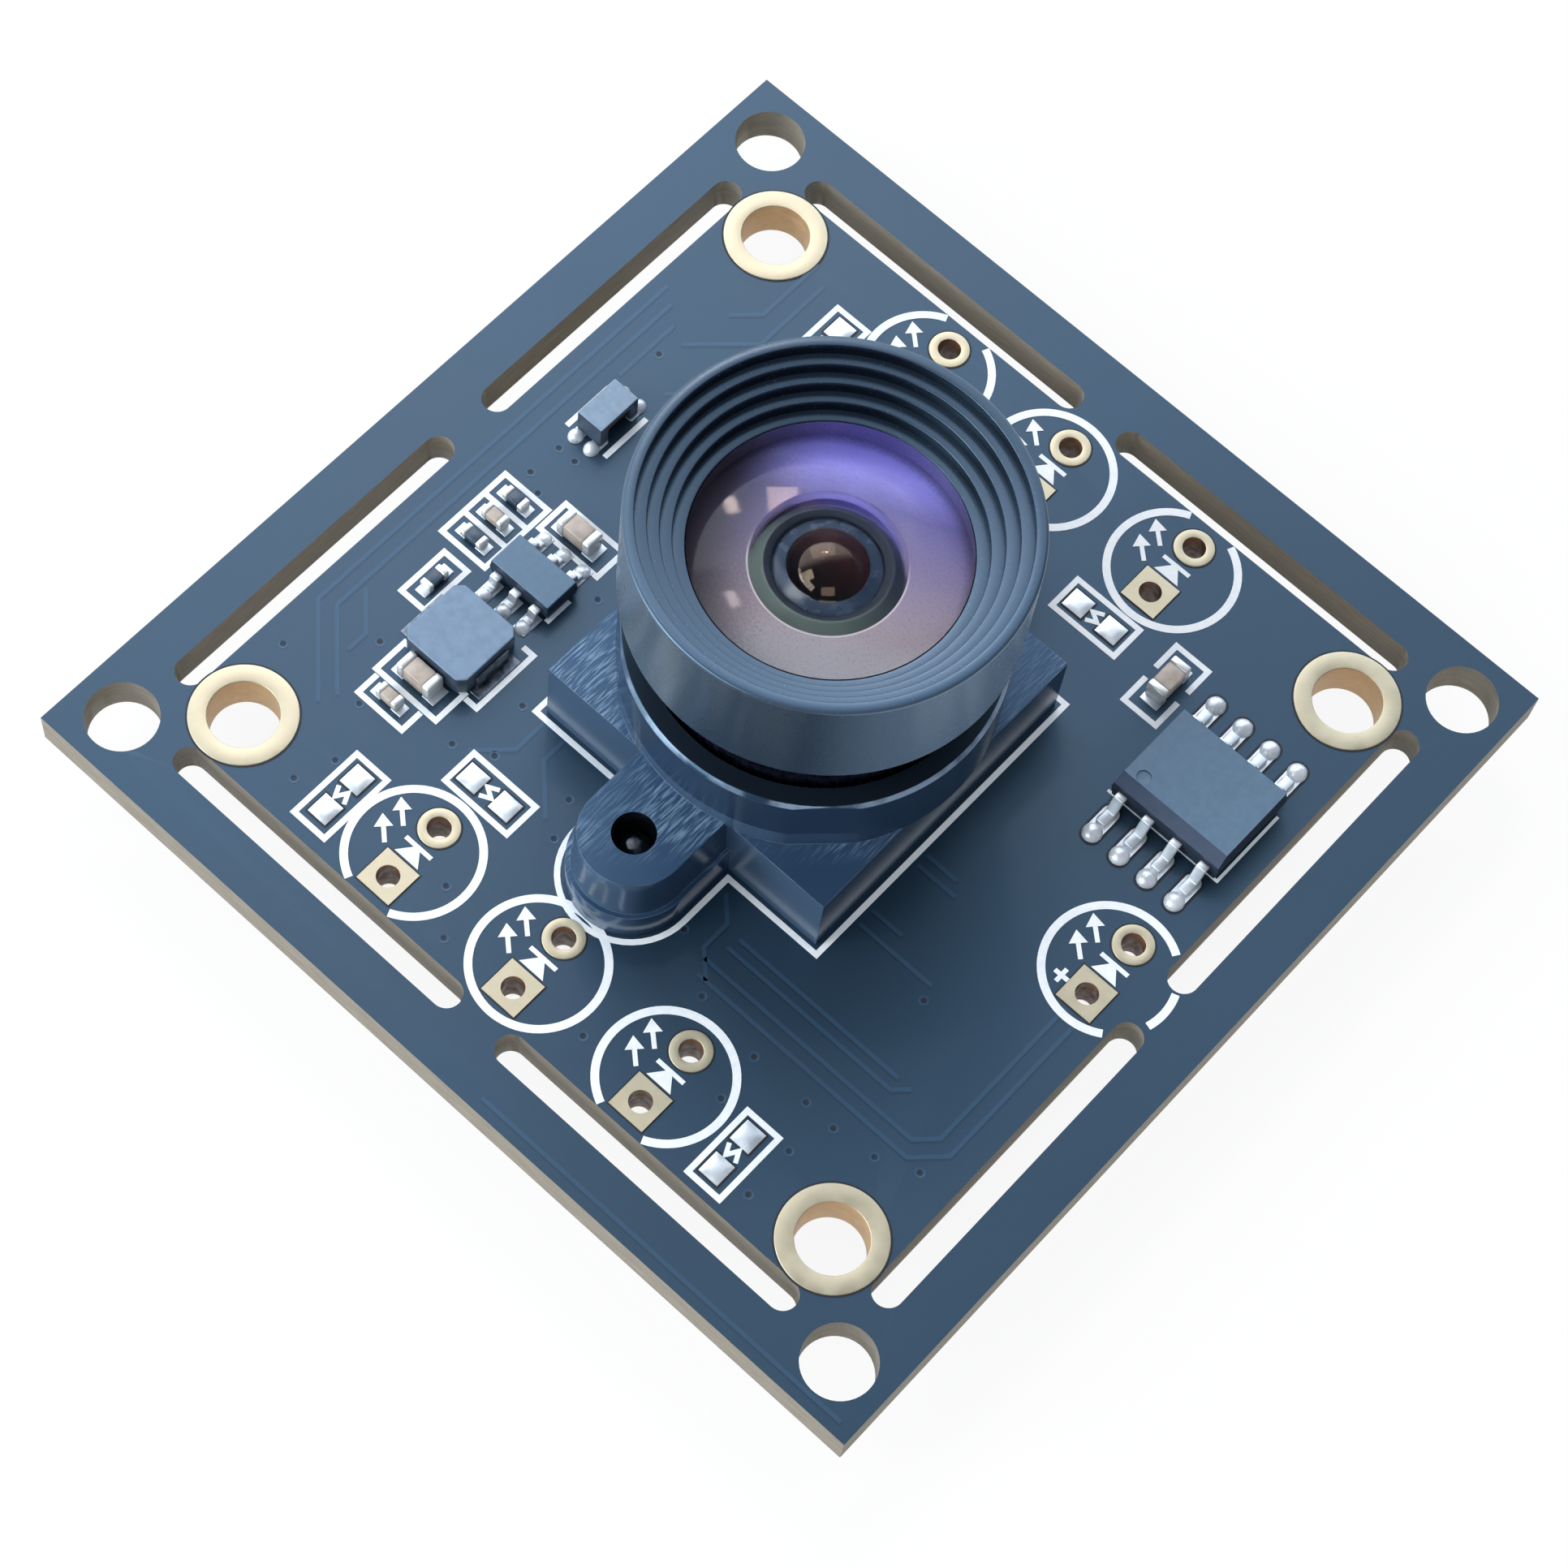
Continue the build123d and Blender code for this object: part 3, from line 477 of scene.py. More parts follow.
def holder_finish():
    finish = material("holder_plastic", "holder_plastic")
    spot = finish.place()
    across, along, height = (finish.axis(spot, letter) for letter in "XYZ")
    facing = finish.normal("Z")
    low = height < BOARD_TOP + HOLDER_STEP
    up = finish.soft_step(facing, 0.9, 0.98)
    # Walls facing -Y low on the holder are painted lighter: painted light from the near side.
    lit_near_wall = finish.soft_step(finish.normal("Y"), -0.5, -0.95) * low
    rim = finish.soft_step(facing, 0.5, 0.65) * (1 - finish.soft_step(facing, 0.75, 0.9))
    stroke = finish.soft_step(finish.noise(1.2, 3.0, (11.0, 1.1, 1.0)), 0.42, 0.68)
    patch = finish.soft_step(finish.noise(0.3, 2.0), 0.42, 0.62)
    brushed = 1 - finish.soft_step(across - along, 8.4, 11.0)
    scratch = stroke * (0.2 + 0.8 * patch) * up * low * brushed
    # Inside the ear bores the colour is near black: painted shade in the holes.
    from_ear = abs(along) - EAR_REACH
    ear_bore_shade = (across * across + from_ear * from_ear) < EAR_BORE * EAR_BORE
    low_tone = finish.mix(brushed, tone(42, 65, 93), tone(46, 70, 99))
    flat_tone = finish.mix(low, tone(16, 23, 34), low_tone)
    wall_tone = finish.mix(lit_near_wall, tone(34, 51, 73), tone(62, 83, 108))
    skin = finish.mix(up, wall_tone, flat_tone)
    marked = finish.mix(scratch, skin, tone(120, 145, 172))
    # Upward bevels get patchy pale lines: painted highlights along the edges.
    edge_highlight = 0.6 * rim * finish.soft_step(finish.noise(0.5, 4.0), 0.4, 0.6)
    edge_highlighted = finish.mix(edge_highlight, marked, tone(160, 180, 204))
    return finish.surface(
        {
            "Base Color": finish.mix(ear_bore_shade, edge_highlighted, tone(8, 11, 16)),
            "Roughness": 0.22 + 0.2 * up,
            "IOR": 1.6,
            "Specular Tint": COOL_SHEEN,
            "Normal": finish.bump(scratch, 0.03, 0.6),
        }
    )


def barrel_finish():
    finish = material("barrel_black", "barrel_black")
    spot = finish.place()
    across, along = finish.axis(spot, "X"), finish.axis(spot, "Y")
    tread = finish.soft_step(finish.normal("Z"), 0.4, 0.95)
    outside = (across * across + along * along) > STEPS_EDGE * STEPS_EDGE
    sideways = 0.7 * across + 0.7 * along
    # Both flanks of the head are painted lighter: a painted sheen.
    left_sheen = finish.soft_step(sideways, -4.2, -6.7) * (1 - tread)
    right_sheen = finish.soft_step(across, 3.5, 7.2) * (1 - tread)
    dust = finish.noise(7.0, 3.0)
    streak = finish.soft_step(finish.noise(0.32, 2.0, (1.0, 1.0, 0.05)), 0.35, 0.65)
    coat = finish.mix(0.8 * streak + 0.2 * dust, tone(24, 33, 44), tone(44, 57, 72))
    lit_left = finish.mix(0.6 * left_sheen, coat, tone(92, 107, 123))
    skin = finish.mix(0.7 * right_sheen, lit_left, tone(116, 138, 162))
    # Rim and treads are painted lighter on the near side and darker on the far side, a painted reflection;
    # the risers are near black, painted shade.
    near_side_glare = finish.soft_step(0.7 * across - 0.7 * along, -4.5, 5.5)
    rim = finish.mix(tread, skin, finish.mix(near_side_glare, tone(24, 33, 45), tone(60, 76, 96)))
    steps = finish.mix(tread, tone(7, 10, 16), finish.mix(near_side_glare, tone(32, 42, 56), tone(54, 68, 87)))
    return finish.surface(
        {
            "Base Color": finish.mix(outside, steps, rim),
            "Roughness": 0.26 + 0.08 * (dust - 0.5),
            "IOR": 1.8,
            "Specular Tint": COOL_SHEEN,
            "Normal": finish.bump(dust, 0.0006, 0.5),
        }
    )


holder_plastic = holder_finish()
barrel_black = barrel_finish()
thread_black = blotched("thread_black", "barrel_black", (10, 13, 22), (26, 31, 46), (0.2, 0.35), 3.0, 0.006)
print("blacks:", holder_plastic.owner.name, barrel_black.owner.name)

# %% [markdown]
# Every new piece is drawn in millimetres and goes through the same last steps: it is scaled
# to metres, its normals are made to point outwards unless they already do, it gets its finish,
# and it rides on the board. The helpers that draw come next.

# %% Piece helpers
SMOOTH_BELOW = math.radians(34)


def piece(name, shape, finishes, replaces=(), outward=True, even=True):
    """Make a drawn shape an object that rides on the board; even keeps its flat faces flat in shading."""
    bmesh.ops.scale(shape, vec=(MM, MM, MM), verts=shape.verts)
    if outward:
        bmesh.ops.recalc_face_normals(shape, faces=shape.faces)
    mesh = bpy.data.meshes.new(name)
    shape.to_mesh(mesh)
    shape.free()
    for finish in finishes:
        mesh.materials.append(finish.owner)
    made = bpy.data.objects.new(name, mesh)
    scene.collection.objects.link(made)
    if even:
        mesh.shade_smooth()
        mesh.set_sharp_from_angle(angle=SMOOTH_BELOW)
        made.modifiers.new("even_shading", "WEIGHTED_NORMAL").keep_sharp = True
    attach(made, "root")
    if replaces:
        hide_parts(*replaces)
    print(name, len(mesh.polygons), "faces")
    return made


def copy_of(node):
    """A solid's mesh in millimetres, its triangles merged back into whole faces."""
    shape = bmesh.new()
    shape.from_mesh(nodes[node].data)
    bmesh.ops.scale(shape, vec=(1 / MM, 1 / MM, 1 / MM), verts=shape.verts)
    bmesh.ops.remove_doubles(shape, verts=shape.verts, dist=0.0005)
    bmesh.ops.dissolve_limit(shape, angle_limit=math.radians(0.5), verts=shape.verts, edges=shape.edges)
    return shape


def trim(shape, edges, width, segments=2, finish=-1):
    """Round edges, or chamfer them when there is one segment."""
    bmesh.ops.bevel(
        shape,
        geom=edges,
        offset=width,
        offset_type="OFFSET",
        affect="EDGES",
        segments=segments,
        profile=0.5,
        material=finish,
        clamp_overlap=True,
    )


def sharp_edges(shape):
    return [edge for edge in shape.edges if edge.is_manifold and edge.calc_face_angle() > SMOOTH_BELOW]


def upright_edges(shape):
    return [edge for edge in shape.edges if abs((edge.verts[1].co - edge.verts[0].co).normalized().z) > FLAT]


def soften(node, finish, width, segments=2, name=None):
    """Replace a solid by itself with small rounds on its sharp edges."""
    shape = copy_of(node)
    trim(shape, sharp_edges(shape), width, segments)
    return piece(name or node + "_dressed", shape, [finish], [node], outward=False)


def lathe(profile, rounds=None, segments=128, closed=True):
    """Turn a profile of (radius, height) points about Z; rounds gives the points that get a round."""
    shape = bmesh.new()
    chain = [shape.verts.new((radius, 0, height)) for radius, height in profile]
    for first, second in zip(chain, chain[1:]):
        shape.edges.new((first, second))
    if closed:
        shape.edges.new((chain[-1], chain[0]))
    for width, points in (rounds or {}).items():
        bmesh.ops.bevel(
            shape,
            geom=[chain[point] for point in points],
            offset=width,
            affect="VERTICES",
            segments=4,
            profile=0.5,
            material=-1,
        )
    bmesh.ops.spin(
        shape,
        geom=shape.verts[:] + shape.edges[:],
        cent=(0, 0, 0),
        axis=(0, 0, 1),
        dvec=(0, 0, 0),
        angle=2 * math.pi,
        steps=segments,
        use_merge=True,
        use_duplicate=False,
    )
    bmesh.ops.remove_doubles(shape, verts=shape.verts, dist=0.0005)
    bmesh.ops.recalc_face_normals(shape, faces=shape.faces)
    return shape


def stamp(target, source, places):
    """Copy a drawn shape to each place, given as x, y, z and a turn in degrees."""
    pattern = bpy.data.meshes.new("pattern")
    source.to_mesh(pattern)
    source.free()
    for x, y, z, turn in places:
        before = len(target.verts)
        target.from_mesh(pattern)
        target.verts.ensure_lookup_table()
        move = Matrix.Translation((x, y, z)) @ Matrix.Rotation(math.radians(turn), 4, "Z")
        bmesh.ops.transform(target, matrix=move, verts=target.verts[before:])
    bpy.data.meshes.remove(pattern)
    return target


print("piece helpers ready")

# %% [markdown]
# A routed board has a fine burr along its edges that catches light. The solid is right as it
# is, so it is copied and only its rims get a narrow round.

# %% Circuit board
RIM_ROUND = 0.05
soften("circuit_board", solder_mask, RIM_ROUND, 2, "board")

# %% [markdown]
# Plated eyelets line the holes and grip both faces of the board. They are turned shapes, so
# each is one profile spun about its axis: a rounded collar on each face and a thin wall
# through the hole. The inside of the hole gets a darker finish.

# %% Gold pads
COPPER = span("mount_pads")[1].z - BOARD_TOP
MOUNT_HOLE = 1.3
MOUNT_PAD = 1.98
LEAD_HOLE = 0.43
LEAD_PAD = 0.775
LEAD_PITCH = 2.54
LAMP_PITCH = 6.0
PAD_ROUND = 0.03
DIAGONAL = math.sqrt(2)

mount_reach = span("mount_pads")[1].x - MOUNT_PAD
lamp_row = span("round_lead_pads")[1].y - LEAD_PAD - LEAD_PITCH / 2
lamp_side = span("square_lead_pads")[1].x - LEAD_PAD
lamps = [(x, y) for y in (-lamp_row, lamp_row) for x in (-LAMP_PITCH, 0, LAMP_PITCH)]
lamps.append((lamp_side, 0))


def eyelet(hole, collar):
    """Plated hole with a collar on both faces."""
    low, high = BOARD_BACK - COPPER, BOARD_TOP + COPPER
    wall = hole + COPPER
    profile = [(hole, low), (collar, low), (collar, BOARD_BACK), (wall, BOARD_BACK)]
    profile += [(wall, BOARD_TOP), (collar, BOARD_TOP), (collar, high), (hole, high)]
    ring = lathe(profile, {PAD_ROUND: (0, 1, 6, 7)}, 72)
    for face in ring.faces:
        middle = face.calc_center_median()
        inside = math.hypot(middle.x, middle.y) < hole + PAD_ROUND / 2
        face.material_index = int(inside and abs(face.normal.z) < FLAT)
    return ring


mounts = [(x, y, 0, 0) for x in (-mount_reach, mount_reach) for y in (-mount_reach, mount_reach)]
mount_rings = stamp(bmesh.new(), eyelet(MOUNT_HOLE, MOUNT_PAD), mounts)
piece("mount_eyelets", mount_rings, [gold, hole_gold], ["mount_pads"])
round_leads = [(x, y + LEAD_PITCH / 2, 0, 0) for x, y in lamps]
round_rings = stamp(bmesh.new(), eyelet(LEAD_HOLE, LEAD_PAD), round_leads)
piece("round_eyelets", round_rings, [gold, hole_brown], ["round_lead_pads"])

# %% [markdown]
# The second lead of each lamp place has a square pad, which tells a worker which way round the
# lamp goes. A square can't be turned on a lathe. So a circle of four sides is bridged to a
# round hole, and the flat face that this gives is pulled up to the copper's thickness.


# %% Square gold pads
def square_pad():
    """Square collar on both faces, bridged to a round plated wall."""
    shape = bmesh.new()
    eighth_turn = Matrix.Rotation(math.pi / 4, 3, "Z")
    for height in (BOARD_BACK - COPPER, BOARD_TOP):
        edge = bmesh.ops.create_circle(shape, cap_ends=False, segments=4, radius=LEAD_PAD * DIAGONAL)
        bmesh.ops.rotate(shape, cent=(0, 0, 0), matrix=eighth_turn, verts=edge["verts"])
        sides = list({side for vert in edge["verts"] for side in vert.link_edges})
        cut = bmesh.ops.subdivide_edges(shape, edges=sides, cuts=7)
        outline = {item for item in cut["geom"] if isinstance(item, bmesh.types.BMEdge)}
        hole = bmesh.ops.create_circle(shape, cap_ends=False, segments=32, radius=LEAD_HOLE)
        rim = {side for vert in hole["verts"] for side in vert.link_edges}
        face = bmesh.ops.bridge_loops(shape, edges=list(outline | rim))["faces"]
        corners = list({vert for item in face for vert in item.verts})
        bmesh.ops.translate(shape, vec=(0, 0, height), verts=corners)
        grown = bmesh.ops.extrude_face_region(shape, geom=face)["geom"]
        tops = [item for item in grown if isinstance(item, bmesh.types.BMVert)]
        bmesh.ops.translate(shape, vec=(0, 0, COPPER), verts=tops)
    bmesh.ops.recalc_face_normals(shape, faces=shape.faces)
    wall = bmesh.ops.create_cone(
        shape, cap_ends=False, segments=32, radius1=LEAD_HOLE, radius2=LEAD_HOLE, depth=BOARD_TOP - BOARD_BACK
    )
    bmesh.ops.translate(shape, vec=(0, 0, (BOARD_TOP + BOARD_BACK) / 2), verts=wall["verts"])
    lining = list({face for vert in wall["verts"] for face in vert.link_faces})
    bmesh.ops.reverse_faces(shape, faces=lining)
    for face in lining:
        face.material_index = 1
    return shape


square_leads = [(x, y - LEAD_PITCH / 2, 0, 0) for x, y in lamps]
square_rings = stamp(bmesh.new(), square_pad(), square_leads)
piece("square_eyelets", square_rings, [gold, hole_brown], ["square_lead_pads"], outward=False)

# %% [markdown]
# The mask stops a little short of each pad, and the gap shows as a dark line. A real gap would
# mean cutting the board, so a thin dark ring lies under the edge of each pad instead.

# %% Mask openings
GAP_SINK = 0.01
GAP_HEIGHT = 0.005
MOUNT_GAP = (-0.2, 0.07)
LEAD_GAP = (-0.1, 0.06)


def gap_ring(pad, gap, segments, stretch=1.0):
    """Thin ring from under a pad's edge to just outside it."""
    inner, outer = ((pad + reach) * stretch for reach in gap)
    low, high = BOARD_TOP - GAP_SINK, BOARD_TOP + GAP_HEIGHT
    return lathe([(inner, low), (outer, low), (outer, high), (inner, high)], None, segments)


gaps = stamp(bmesh.new(), gap_ring(MOUNT_PAD, MOUNT_GAP, 72), mounts)
stamp(gaps, gap_ring(LEAD_PAD, LEAD_GAP, 48), round_leads)
stamp(gaps, gap_ring(LEAD_PAD, LEAD_GAP, 4, DIAGONAL), [(x, y, z, 45) for x, y, z, turn in square_leads])
piece("mask_openings", gaps, [opening])

# %% [markdown]
# Printed ink is a thin raised line. Each line is a chain of vertices, raised into a ribbon,
# and a Solidify modifier gives every ribbon of a piece the same width. Rings are clipped
# where the slots cut them off.

# %% Ink helpers
INK_SINK = 0.01
INK_HEIGHT = 0.018
INK_STAGGER = 0.003


def draw(shape, points, closed=False):
    """Chain of edges through points given as x and y."""
    chain = [shape.verts.new((x, y, 0)) for x, y in points]
    ends = chain[1:] + chain[:1] if closed else chain[1:]
    for first, second in zip(chain, ends):
        shape.edges.new((first, second))


def box_line(shape, low_x, low_y, high_x, high_y):
    draw(shape, [(low_x, low_y), (high_x, low_y), (high_x, high_y), (low_x, high_y)], True)


def arc(x, y, radius, start, stop, steps=24):
    """Points along an arc, from one angle to another, in degrees."""
    turns = [math.radians(start + (stop - start) * step / steps) for step in range(steps + 1)]
    return [(x + radius * math.cos(turn), y + radius * math.sin(turn)) for turn in turns]


def ink(name, shape, width, finish, height=INK_HEIGHT):
    """Raise drawn chains into ribbons of one width on the board's front."""
    bmesh.ops.translate(shape, vec=(0, 0, BOARD_TOP - INK_SINK), verts=shape.verts)
    raised = bmesh.ops.extrude_edge_only(shape, edges=shape.edges[:])["geom"]
    tops = [item for item in raised if isinstance(item, bmesh.types.BMVert)]
    bmesh.ops.translate(shape, vec=(0, 0, INK_SINK + height), verts=tops)
    made = piece(name, shape, [finish], even=False)
    line = made.modifiers.new("line_width", "SOLIDIFY")
    line.thickness = width * MM
    line.offset = 0
    line.use_even_offset = True
    return made


print("ink helpers ready")

# %% [markdown]
# Seven lamp places have a printed ring each. Bisect Plane cuts off what would lie over a slot.
# The two rings beside the ears stay whole, and a short arc continues the one at the side
# beyond its slots.

# %% Lamp rings
RING_RADIUS = 2.43
RING_LINE = 0.3
SLOT_EDGE = 15.85
SIDE_ARC = (-17, 21)

rings = bmesh.new()
for x, y in lamps:
    if x:
        bmesh.ops.create_circle(rings, segments=72, radius=RING_RADIUS, matrix=Matrix.Translation((x, y, 0)))
for outward in ((1, 0, 0), (0, 1, 0), (0, -1, 0)):
    everything = rings.verts[:] + rings.edges[:]
    bmesh.ops.bisect_plane(
        rings, geom=everything, plane_co=Vector(outward) * SLOT_EDGE, plane_no=outward, clear_outer=True
    )
for y in (-lamp_row, lamp_row):
    bmesh.ops.create_circle(rings, segments=72, radius=RING_RADIUS, matrix=Matrix.Translation((0, y, 0)))
draw(rings, arc(lamp_side, 0, RING_RADIUS, *SIDE_ARC, 10))
ink("lamp_rings", rings, RING_LINE, silk_ink)

# %% [markdown]
# Inside each ring stands the sign for a lamp: a bar and a triangle for the diode, and two arrows
# for its light. Lines are drawn here, and the filled tips are only noted, as they need faces.

# %% Lamp signs
SIGN_LINE = 0.17
BAR_HALF = 0.62
BAR_Y = 0.24
DIODE_Y = -0.14
DIODE_HALF = 0.56
DIODE_RISE = 0.36
ARROWS = [((-0.97, 0.47), 41.5), ((-1.0, -0.43), 42.0)]
ARROW_SHAFT = 0.68
ARROW_HEAD = 0.34
ARROW_RISE = 0.75 * ARROW_HEAD
TIP_OVERLAP = 0.1
PLUS = (13.4, -1.35)
PLUS_HALF = 0.3

signs = bmesh.new()
tips = []
for x, y in lamps:
    draw(signs, [(x - BAR_HALF, y + BAR_Y), (x + BAR_HALF, y + BAR_Y)])
    tips.append((x, y + DIODE_Y, 90, DIODE_HALF, DIODE_RISE))
    for (tail_x, tail_y), lean in ARROWS:
        along = Vector((-math.cos(math.radians(lean)), math.sin(math.radians(lean))))
        tail = Vector((x + tail_x, y + tail_y))
        head = tail + ARROW_SHAFT * along
        draw(signs, [tail, head])
        middle = head + TIP_OVERLAP * along
        tips.append((middle.x, middle.y, 180 - lean, ARROW_HEAD, ARROW_RISE))
draw(signs, [(PLUS[0] - PLUS_HALF, PLUS[1]), (PLUS[0] + PLUS_HALF, PLUS[1])])
ink("lamp_signs", signs, SIGN_LINE, silk_ink)
upright = bmesh.new()
draw(upright, [(PLUS[0], PLUS[1] - PLUS_HALF), (PLUS[0], PLUS[1] + PLUS_HALF)])
ink("plus_upright", upright, SIGN_LINE, silk_ink, INK_HEIGHT + INK_STAGGER)

# %% [markdown]
# A circle of three sides is a triangle. Each one is turned to point along X, stretched to its
# size, put in its place and then raised like the lines.

# %% Filled tips of the signs
TRIANGLE_HALF = math.sin(math.pi / 3)
TRIANGLE_HEIGHT = 1.5

heads = bmesh.new()
point_along_x = Matrix.Rotation(-math.pi / 2, 3, "Z")
for x, y, turn, half_width, rise in tips:
    tip = bmesh.ops.create_circle(heads, cap_ends=True, segments=3, radius=1)["verts"]
    bmesh.ops.rotate(heads, cent=(0, 0, 0), matrix=point_along_x, verts=tip)
    stretch = (2 * rise / TRIANGLE_HEIGHT, half_width / TRIANGLE_HALF, 1)
    bmesh.ops.scale(heads, vec=stretch, verts=tip)
    spot = Matrix.Translation((x, y, BOARD_TOP - INK_SINK)) @ Matrix.Rotation(math.radians(turn), 4, "Z")
    bmesh.ops.transform(heads, matrix=spot, verts=tip)
raised = bmesh.ops.extrude_face_region(heads, geom=heads.faces[:])["geom"]
raised_verts = [item for item in raised if isinstance(item, bmesh.types.BMVert)]
bmesh.ops.translate(heads, vec=(0, 0, INK_SINK + INK_HEIGHT + 2 * INK_STAGGER), verts=raised_verts)
piece("sign_tips", heads, [silk_ink], even=False)

# %% [markdown]
# The other printed lines are boxes round the parts and the outline of the holder with its two
# ears. Closed boxes are given by two corners, and open ones by their points.

# %% Printed outlines
OUTLINE = 0.22
FINE_OUTLINE = 0.12
HOLDER_LINE = 6.72
LOBE = 2.55

outlines = bmesh.new()
lobe_top = arc(0, EAR_REACH, LOBE, 0, 180)
lobe_bottom = arc(0, -EAR_REACH, LOBE, 180, 360)
holder_path = [(HOLDER_LINE, -HOLDER_LINE), (HOLDER_LINE, HOLDER_LINE), (LOBE, HOLDER_LINE)]
holder_path += lobe_top + [(-LOBE, HOLDER_LINE), (-HOLDER_LINE, HOLDER_LINE), (-HOLDER_LINE, -HOLDER_LINE)]
holder_path += [(-LOBE, -HOLDER_LINE)] + lobe_bottom + [(LOBE, -HOLDER_LINE)]
draw(outlines, holder_path, True)
for corners in (
    (-10.08, -15.4, -8.6, -12.3),
    (-7.15, -10.88, -4.15, -9.42),
    (8.85, -15.6, 10.3, -12.6),
    (3.75, 9.42, 6.72, 10.9),
    (-10.2, 10.3, -8.7, 13.3),
    (-11.72, -1.3, -8.85, 0.1),
    (-14.15, -3.85, -12.0, -0.55),
    (-13.5, -6.6, -12.35, -4.4),
    (-11.95, -9.45, -9.0, -8.0),
):
    box_line(outlines, *corners)
for first, second in (
    ((-14.04, -1.65), (-12.11, -1.65)),
    ((-14.04, -2.72), (-12.11, -2.72)),
    ((-8.9, -2.7), (-8.9, -3.9)),
    ((-12.05, 2.5), (-12.05, 4.75)),
    ((-13.95, 2.5), (-13.95, 4.75)),
):
    draw(outlines, [first, second])
draw(outlines, [(-8.86, -8.1), (-8.3, -8.1), (-8.3, -5.2), (-8.8, -5.2)])
draw(outlines, [(8.1, 9.6), (8.1, 8.35), (9.6, 8.35), (9.6, 9.6)])
draw(outlines, [(8.1, 10.15), (8.1, 11.35), (9.6, 11.35), (9.6, 10.15)])
draw(outlines, [(-11.75, -9.6), (-11.75, -10.55), (-9.6, -10.55), (-9.6, -9.6)])
ink("printed_outlines", outlines, OUTLINE, silk_ink, INK_HEIGHT - INK_STAGGER)
fine_lines = bmesh.new()
draw(fine_lines, [(10.0, 5.2), (15.08, 5.2), (15.08, 8.65)])
ink("fine_outlines", fine_lines, FINE_OUTLINE, silk_ink)

# %% [markdown]
# A zigzag marks each empty resistor place. It is four points long, and turns with its place.

# %% Zigzags of the empty places
ZIG = 0.2
ZIG_STEPS = [(-1, -1.6), (1, -0.6), (-1, 0.6), (1, 1.6)]
BARE_PLACES = [(-9.35, -13.8, 90), (-5.7, -10.15, 0), (9.5, -14.08, 90), (5.2, 10.15, 0), (-9.45, 11.8, 90)]

zigzags = bmesh.new()
for x, y, turn in BARE_PLACES:
    side, ahead = (0, 1) if turn else (1, 0), (-1, 0) if turn else (0, 1)
    draw(
        zigzags,
        [
            (x + ZIG * (swing * side[0] + step * ahead[0]), y + ZIG * (swing * side[1] + step * ahead[1]))
            for swing, step in ZIG_STEPS
        ],
    )
ink("zigzags", zigzags, SIGN_LINE, silk_ink)

# %% [markdown]
# Copper runs under the mask as faint raised lines. They are drawn as the ink is, lower and in
# the mask's own finish, a shade lighter. A lower and darker copy beside each is a painted
# shadow on its shaded side.

# %% Traces
TRACE = 0.16
TRACE_HEIGHT = 0.008
TRACE_SHADE = 0.06

TRACE_PATHS = [
    [(-15.4, 9.5), (-15.4, -8.9), (-12.5, -11.8)],
    [(-14.75, 9.0), (-14.75, -8.6), (-12.2, -11.15)],
    [(-14.05, 8.4), (-14.05, 5.4)],
    [(-14.5, -7.4), (-13.2, -8.7), (-13.2, -9.6)],
    [(4.4, -8.15), (11.8, -8.15)],
    [(4.3, -8.65), (11.9, -8.65), (12.4, -8.15)],
    [(4.0, -9.5), (13.6, -9.5), (14.3, -8.8), (14.3, -2.2)],
    [(4.2, -10.1), (13.9, -10.1), (14.95, -9.05), (14.95, -2.6)],
    [(7.0, -1.2), (8.4, -1.2)],
    [(7.0, -1.7), (8.8, -1.7)],
    [(7.0, -4.1), (8.4, -4.1)],
    [(7.0, -4.8), (10.4, -4.8)],
    [(2.9, -7.2), (3.7, -8.0), (3.7, -9.2), (4.6, -10.1)],
    [(-6.2, -6.9), (-6.2, -8.3), (-7.4, -9.5)],
    [(-5.2, -6.9), (-5.2, -7.9), (-3.6, -9.5)],
    [(-12.3, 6.0), (-9.6, 8.7), (-9.6, 10.0)],
    [(-13.3, 8.0), (-11.2, 10.1), (-11.2, 13.6)],
    [(-12.9, 10.2), (-12.0, 11.1), (-12.0, 14.2)],
    [(2.0, -18.5), (18.4, -18.5)],
]

traces, trace_shadows = bmesh.new(), bmesh.new()
for path in TRACE_PATHS:
    draw(traces, path)
    draw(trace_shadows, [(x + TRACE_SHADE, y - TRACE_SHADE) for x, y in path])
ink("mask_traces", traces, TRACE, trace_mask, TRACE_HEIGHT)
ink("trace_shades", trace_shadows, TRACE, shade_mask, TRACE_HEIGHT / 2)

# %% [markdown]
# Small plated vias lie under the mask. Each is a low ring with a dimple, pressed from a disc
# by two insets.

# %% Vias
VIA_RADIUS = 0.2
VIA_RIM = 0.07
VIA_SLOPE = 0.02
VIA_DIMPLE = 0.004
VIAS = [
    (-12.6, -8.6), (-15.0, -11.05), (-11.4, -10.85), (-10.45, -13.0), (-11.0, -14.5), (-7.2, -6.9),
    (-7.95, -9.7), (-6.55, -9.0), (-3.5, -8.4), (-2.85, -9.85), (-4.3, -13.75), (-3.0, -15.2),
    (2.75, -9.2), (2.95, -14.5), (4.9, -10.6), (7.7, -11.0), (10.1, -11.0), (11.4, -11.05),
    (10.9, -14.8), (7.9, -12.9), (10.85, -12.7), (14.6, -10.2), (13.1, -10.85), (10.55, -5.4),
    (-13.55, 0.15), (-12.75, -0.3), (-8.2, -1.95), (-13.6, 7.1), (-13.5, 1.6), (-12.7, 1.6),
]

